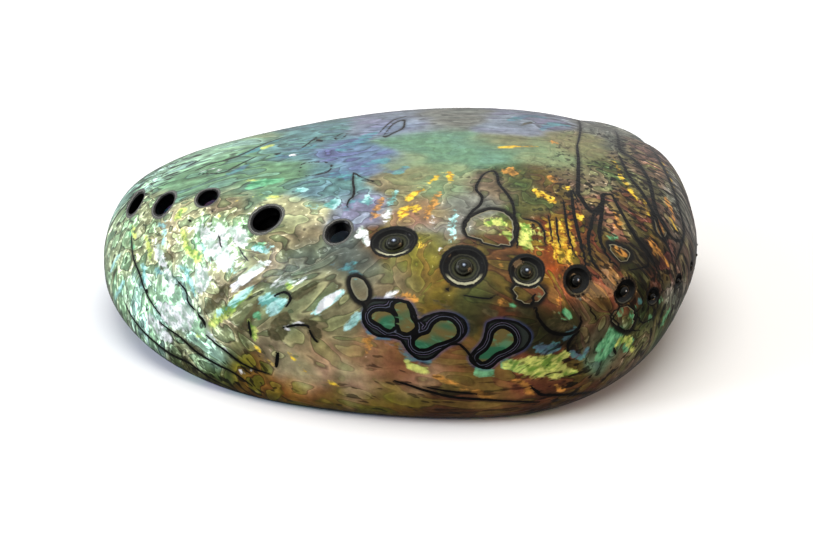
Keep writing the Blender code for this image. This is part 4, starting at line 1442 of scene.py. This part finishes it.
# Closed cells: black outlines with a pale line inside.
cells = node("ShaderNodeMath", {0: read["cells"], 1: waver})
cell_edge = node("ShaderNodeMapRange", {0: cells, 1: -2.0, 2: 2.0}, **EASED)
cell_rims = node("ShaderNodeValToRGB", {"Fac": cell_edge})
set_stops(cell_rims, (
    (0.00, "#1d1b16"), (0.36, "#1d1b16"), (0.41, "#050505"), (0.53, "#050505"), (0.57, "#8f8c76"),
    (1.00, "#8f8c76"),
))
cell_outer = node("ShaderNodeMapRange", {0: cells, 1: -1.6, 2: -0.6}, **EASED)
cell_inner = node("ShaderNodeMapRange", {0: cells, 1: 0.60, 2: 0.40}, **EASED)
cell_amount = node("ShaderNodeMath", {0: cell_outer, 1: cell_inner}, operation="MULTIPLY")
colour = node("ShaderNodeMix", {"Factor": cell_amount, 6: colour, 7: cell_rims}, **BLENDED)

# Single contour lines, each with a soft brown shade beside it.
ink = to_linear("#070706")
for line_set in ("contour", "close"):
    side = node("ShaderNodeMath", {0: sway, 1: 0.35, 2: read[line_set + "_side"]}, operation="MULTIPLY_ADD")
    side = node("ShaderNodeMath", {0: side}, operation="ABSOLUTE")
    near = read[line_set + "_near"]
    colour = lay(colour, "#2a2620", near, 3.6, 0.8, 0.5)
    on_line = node("ShaderNodeMapRange", {0: side, 1: 1.15, 2: 0.8}, **EASED)
    by_line = node("ShaderNodeMapRange", {0: near, 1: 2.6, 2: 1.8}, **EASED)
    line = node("ShaderNodeMath", {0: on_line, 1: by_line}, operation="MULTIPLY")
    colour = node("ShaderNodeMix", {"Factor": line, 6: colour, 7: ink}, **BLENDED)

# The pores: fine ledges of grey nacre and black horn round each, and ringed plugs in the old ones. The
# open holes' walls are painted black as shade, and each plug's bead has a pale blue-white painted
# highlight at its middle.
radius = node("ShaderNodeMath", {0: sway, 1: 0.07, 2: read["pore_radius"]}, operation="MULTIPLY_ADD")
below = node("ShaderNodeMath", {0: radius, 1: 0.5}, operation="MULTIPLY")
# Painted shade: near black on the open holes' walls, then the ledges round them.
hole_shade_and_ledges = node("ShaderNodeValToRGB", {"Fac": below})
set_stops(hole_shade_and_ledges, (
    (0.00, "#030303"), (0.42, "#060606"), (0.44, "#3c3c3a"), (0.455, "#0e0e0e"), (0.475, "#9c9c94"),
    (0.49, "#1a1a1c"), (0.51, "#8f8f86"), (0.525, "#26262a"), (0.545, "#6d6d64"), (0.56, "#3a3a36"),
))
off_centre = node("ShaderNodeMath", {0: read["pore_low"], 1: -0.05, 2: below}, operation="MULTIPLY_ADD")
# The ramp starts with the painted highlight at the bead's middle, then the plug's rings.
sealed = node("ShaderNodeValToRGB", {"Fac": off_centre})
set_stops(sealed, (
    (0.00, "#c8d4e4"), (0.035, "#5f6a78"), (0.06, "#0a0b0e"), (0.11, "#3a3b30"), (0.15, "#171812"),
    (0.18, "#5a5b4e"), (0.20, "#0c0c0a"), (0.25, "#4a4c30"), (0.31, "#1a1c16"), (0.34, "#4c4d40"),
    (0.37, "#050505"), (0.47, "#020202"), (0.50, "#2a2a26"), (0.52, "#040404"), (0.56, "#060606"),
    (0.60, "#23261f"), (0.66, "#3c453b"),
))

# The pale crescent at the lower side of a sealed pore, and the oldest pores, which are all black but
# for the painted highlight on the bead.
low_side = node("ShaderNodeMapRange", {0: read["pore_low"], 1: 0.35, 2: 0.75}, **EASED)
gap_start = node("ShaderNodeMapRange", {0: radius, 1: 0.84, 2: 0.92}, **EASED)
gap_end = node("ShaderNodeMapRange", {0: radius, 1: 1.02, 2: 0.96}, **EASED)
in_gap = node("ShaderNodeMath", {0: gap_start, 1: gap_end}, operation="MULTIPLY")
crescent = node("ShaderNodeMath", {0: low_side, 1: in_gap}, operation="MULTIPLY")
pale_nacre = to_linear("#c4c2a4")
sealed = node("ShaderNodeMix", {"Factor": crescent, 6: sealed, 7: pale_nacre}, **BLENDED)
oldest = node("ShaderNodeMapRange", {0: read["pore_number"], 1: 7.4, 2: 7.6, 3: 0.0, 4: 0.85}, **EASED)
off_bead_highlight = node("ShaderNodeMapRange", {0: radius, 1: 0.10, 2: 0.16}, **EASED)
oldest_black = node("ShaderNodeMath", {0: oldest, 1: off_bead_highlight}, operation="MULTIPLY")
black_horn = to_linear("#040404")
sealed = node("ShaderNodeMix", {"Factor": oldest_black, 6: sealed, 7: black_horn}, **BLENDED)
opened = read["pore_open"]
pore_colour = node("ShaderNodeMix", {"Factor": opened, 6: sealed, 7: hole_shade_and_ledges}, **BLENDED)
pore_edge = node("ShaderNodeMath", {0: opened, 1: 0.07, 2: radius}, operation="MULTIPLY_ADD")
colour = lay(colour, pore_colour, pore_edge, 1.20, 1.10)
# Painted shade: black where the surface lies deep below the outside, in the holes.
colour = lay(colour, "#050505", read["depth"], 1.1, 1.5)

# Painted shade darkens the shell towards the rim, where it sits on the floor; the lip also has its own
# dark horny edge.
edge = node("ShaderNodeMath", {0: sway, 1: 0.4, 2: read["rim"]}, operation="MULTIPLY_ADD")
colour = lay(colour, "#1b180e", edge, 5.5, 0.6, 0.55)
colour = lay(colour, "#120f0a", edge, 1.5, 0.2, 0.92)
colour = node("ShaderNodeGamma", {"Color": colour, "Gamma": 1.18})
tree.links.new(colour, principled.inputs["Base Color"])

# Low facets and growth lines break the reflection under the lacquer; the lacquer's own face is calmer.
facets = node("ShaderNodeMath", {0: streaks, 1: 0.9}, operation="MULTIPLY")
facets = node("ShaderNodeMath", {0: wobble, 1: 0.5, 2: facets}, operation="MULTIPLY_ADD")
ledge_height = node("ShaderNodeMapRange", {0: radius, 1: 1.30, 2: 0.95, 3: 0.0, 4: -0.6}, **EASED)
facets = node("ShaderNodeMath", {0: facets, 1: ledge_height})
under_face = node("ShaderNodeBump", {"Height": facets, "Strength": 0.6, "Distance": 0.0005})
calm = node("ShaderNodeMath", {0: wobble, 1: 0.35, 2: clouds}, operation="MULTIPLY_ADD")
lacquer_face = node("ShaderNodeBump", {"Height": calm, "Strength": 0.35, "Distance": 0.0012})
tree.links.new(under_face, principled.inputs["Normal"])
tree.links.new(lacquer_face, principled.inputs["Coat Normal"])
principled.inputs["Metallic"].default_value = 0.35
principled.inputs["Roughness"].default_value = 0.30
principled.inputs["IOR"].default_value = 1.53
principled.inputs["Specular IOR Level"].default_value = 0.2
principled.inputs["Coat Weight"].default_value = 0.7
principled.inputs["Coat Roughness"].default_value = 0.04
principled.inputs["Coat IOR"].default_value = 1.50

# The inside
# Unpolished nacre as the animal left it: silky, with broad bands of blue, green and pink, and a
# rougher dark scar where its muscle was fixed.
inner_nacre.use_nodes = True
tree = inner_nacre.node_tree
node = partial(add_node, tree)
principled = tree.nodes["Principled BSDF"]
place = node("ShaderNodeTexCoord", output="Object")
place_mm = node("ShaderNodeVectorMath", {0: place, "Scale": MM}, operation="SCALE")
grain = node("ShaderNodeAttribute", output="Vector", attribute_name="grain")
BANDS_PER_MM = (0.03, 0.03, 0.12)
banding = node("ShaderNodeVectorMath", {0: grain, 1: BANDS_PER_MM}, operation="MULTIPLY")
silky = {"Scale": 1.0, "Detail": 4.0, "Roughness": 0.6, "Distortion": 1.4}
bands = node("ShaderNodeTexNoise", {"Vector": banding, **silky})
spectrum = node("ShaderNodeValToRGB", {"Fac": bands})
set_stops(spectrum, (
    (0.25, "#2e5f7c"), (0.36, "#3f9a94"), (0.43, "#8ed0b0"), (0.48, "#4f8fc0"), (0.53, "#8a7fc4"),
    (0.58, "#d29ab4"), (0.63, "#7fc4a4"), (0.70, "#b8c070"), (0.78, "#5a9a90"),
))
RIPPLES_PER_MM = 0.16
rippled = {"Scale": RIPPLES_PER_MM, "Detail": 5.0, "Roughness": 0.6}
ripple = node("ShaderNodeTexNoise", {"Vector": place_mm, **rippled})
inner_tone = node("ShaderNodeMapRange", {0: ripple, 1: 0.3, 2: 0.7, 3: 0.75, 4: 1.25}, **EASED)
colour = node("ShaderNodeHueSaturation", {"Value": inner_tone, "Color": spectrum})
SCAR_PLACE = (14.0, -4.0, 38.0)
SCAR_RADIUS = 23.0
SCAR_WANDER = 14.0
from_scar = node("ShaderNodeVectorMath", {0: place_mm, 1: SCAR_PLACE}, operation="DISTANCE", output="Value")
from_scar = node("ShaderNodeMath", {0: ripple, 1: SCAR_WANDER, 2: from_scar}, operation="MULTIPLY_ADD")
colour = lay(colour, "#6f7f6a", from_scar, SCAR_RADIUS + 0.5, SCAR_RADIUS - 0.5, 0.75)
scar_edge = node("ShaderNodeMath", {0: from_scar, 1: -SCAR_RADIUS})
scar_edge = node("ShaderNodeMath", {0: scar_edge}, operation="ABSOLUTE")
colour = lay(colour, "#2c3a34", scar_edge, 0.9, 0.3, 0.7)
tree.links.new(colour, principled.inputs["Base Color"])
silk = node("ShaderNodeMath", {0: bands, 1: 0.6, 2: ripple}, operation="MULTIPLY_ADD")
inner_face = node("ShaderNodeBump", {"Height": silk, "Strength": 0.5, "Distance": 0.0012})
tree.links.new(inner_face, principled.inputs["Normal"])
principled.inputs["Metallic"].default_value = 0.45
principled.inputs["Roughness"].default_value = 0.26
principled.inputs["IOR"].default_value = 1.53
principled.inputs["Coat Weight"].default_value = 0.3
principled.inputs["Coat Roughness"].default_value = 0.2

# The inside's faces take the inner nacre, but the pores' walls stay polished.
PORE_WALL_REACH = 1.25
SHARP_ANGLE = 38.0
skin.data.materials.clear()
skin.data.materials.append(nacre)
skin.data.materials.append(inner_nacre)
face_index = np.empty(len(skin.data.loops), dtype=np.int32)
skin.data.loops.foreach_get("vertex_index", face_index)
starts = np.empty(len(skin.data.polygons), dtype=np.int32)
skin.data.polygons.foreach_get("loop_start", starts)
outside_share = np.add.reduceat(spot_is_outside[face_index].astype(float), starts)
corners = np.diff(np.append(starts, len(face_index)))
face_middle = np.add.reduceat(spots_mm[face_index], starts, axis=0) / corners[:, None]
from_pores = np.linalg.norm(face_middle[:, None] - pore_middles[None], axis=2)
by_pore = (from_pores < PORE_WALL_REACH * MM * half_sizes.mean(axis=1)).any(axis=1)
is_inner = ((outside_share == 0.0) & ~by_pore).astype(np.int32)
skin.data.polygons.foreach_set("material_index", is_inner)
skin.data.shade_smooth()
skin.data.set_sharp_from_angle(angle=np.radians(SHARP_ANGLE))
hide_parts("shell")
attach(skin, "root")

# The floor and the light
# As for a shop picture: a matt white card, a soft tent brightest above and behind, a large fill lamp
# overhead, a cool key lamp at the left, which is mirrored as a smaller window, and a weak warm lamp
# at the right.
floor_data = bpy.data.meshes.new("floor")
FLOOR_REACH = 4.0
FLOOR_LEVEL = -0.0002
signs = ((-1, -1), (1, -1), (1, 1), (-1, 1))
floor_corners = [(FLOOR_REACH * x, FLOOR_REACH * y, FLOOR_LEVEL) for x, y in signs]
floor_data.from_pydata(floor_corners, [], [(0, 1, 2, 3)])
floor = bpy.data.objects.new("floor", floor_data)
bpy.context.collection.objects.link(floor)
card = bpy.data.materials.new("matt_white_card")
card.use_nodes = True
card.node_tree.nodes["Principled BSDF"].inputs["Base Color"].default_value = to_linear("#dededc")
card.node_tree.nodes["Principled BSDF"].inputs["Roughness"].default_value = 0.9
floor_data.materials.append(card)

tent = bpy.data.worlds.new("light_tent")
tent.use_nodes = True
tree = tent.node_tree
node = partial(add_node, tree)
direction = node("ShaderNodeTexCoord", output="Generated")
BRIGHTEST = (-0.25, 0.35, 0.90)
TENT_DIM = 0.08
TENT_BRIGHT = 0.50
toward = node("ShaderNodeVectorMath", {0: direction, 1: BRIGHTEST}, operation="DOT_PRODUCT", output="Value")
shade = node("ShaderNodeMapRange", {0: toward, 1: -0.3, 2: 0.9, 3: TENT_DIM, 4: TENT_BRIGHT})
background = tree.nodes["Background"]
background.inputs["Color"].default_value = (1.0, 1.0, 1.0, 1.0)
tree.links.new(shade, background.inputs["Strength"])
bpy.context.scene.world = tent

# Each lamp: its name, place, side in metres, watts, colour, and whether the lacquer mirrors it.
LAMPS = (
    ("fill_lamp", (0.0, 0.10, 1.10), 1.20, 16.5, "#ffffff", False),
    ("key_lamp", (-1.10, -0.22, 0.46), 0.50, 13.0, "#e4edff", False),
    ("window_lamp", (-0.90, -0.20, 0.75), 0.40, 1.3, "#f4f8ff", True),
    ("warm_lamp", (0.90, -0.50, 0.50), 0.50, 3.2, "#ffcc94", True),
)
for name, place, size, power, code, mirrored in LAMPS:
    lamp_data = bpy.data.lights.new(name, "AREA")
    lamp_data.size = size
    lamp_data.energy = power
    lamp_data.color = to_linear(code)[:3]
    lamp = bpy.data.objects.new(name, lamp_data)
    lamp.location = place
    lamp.rotation_euler = Vector(place).to_track_quat("Z", "Y").to_euler()
    lamp.visible_glossy = mirrored
    bpy.context.collection.objects.link(lamp)
floor.visible_glossy = False
bpy.context.scene.view_settings.view_transform = "Standard"
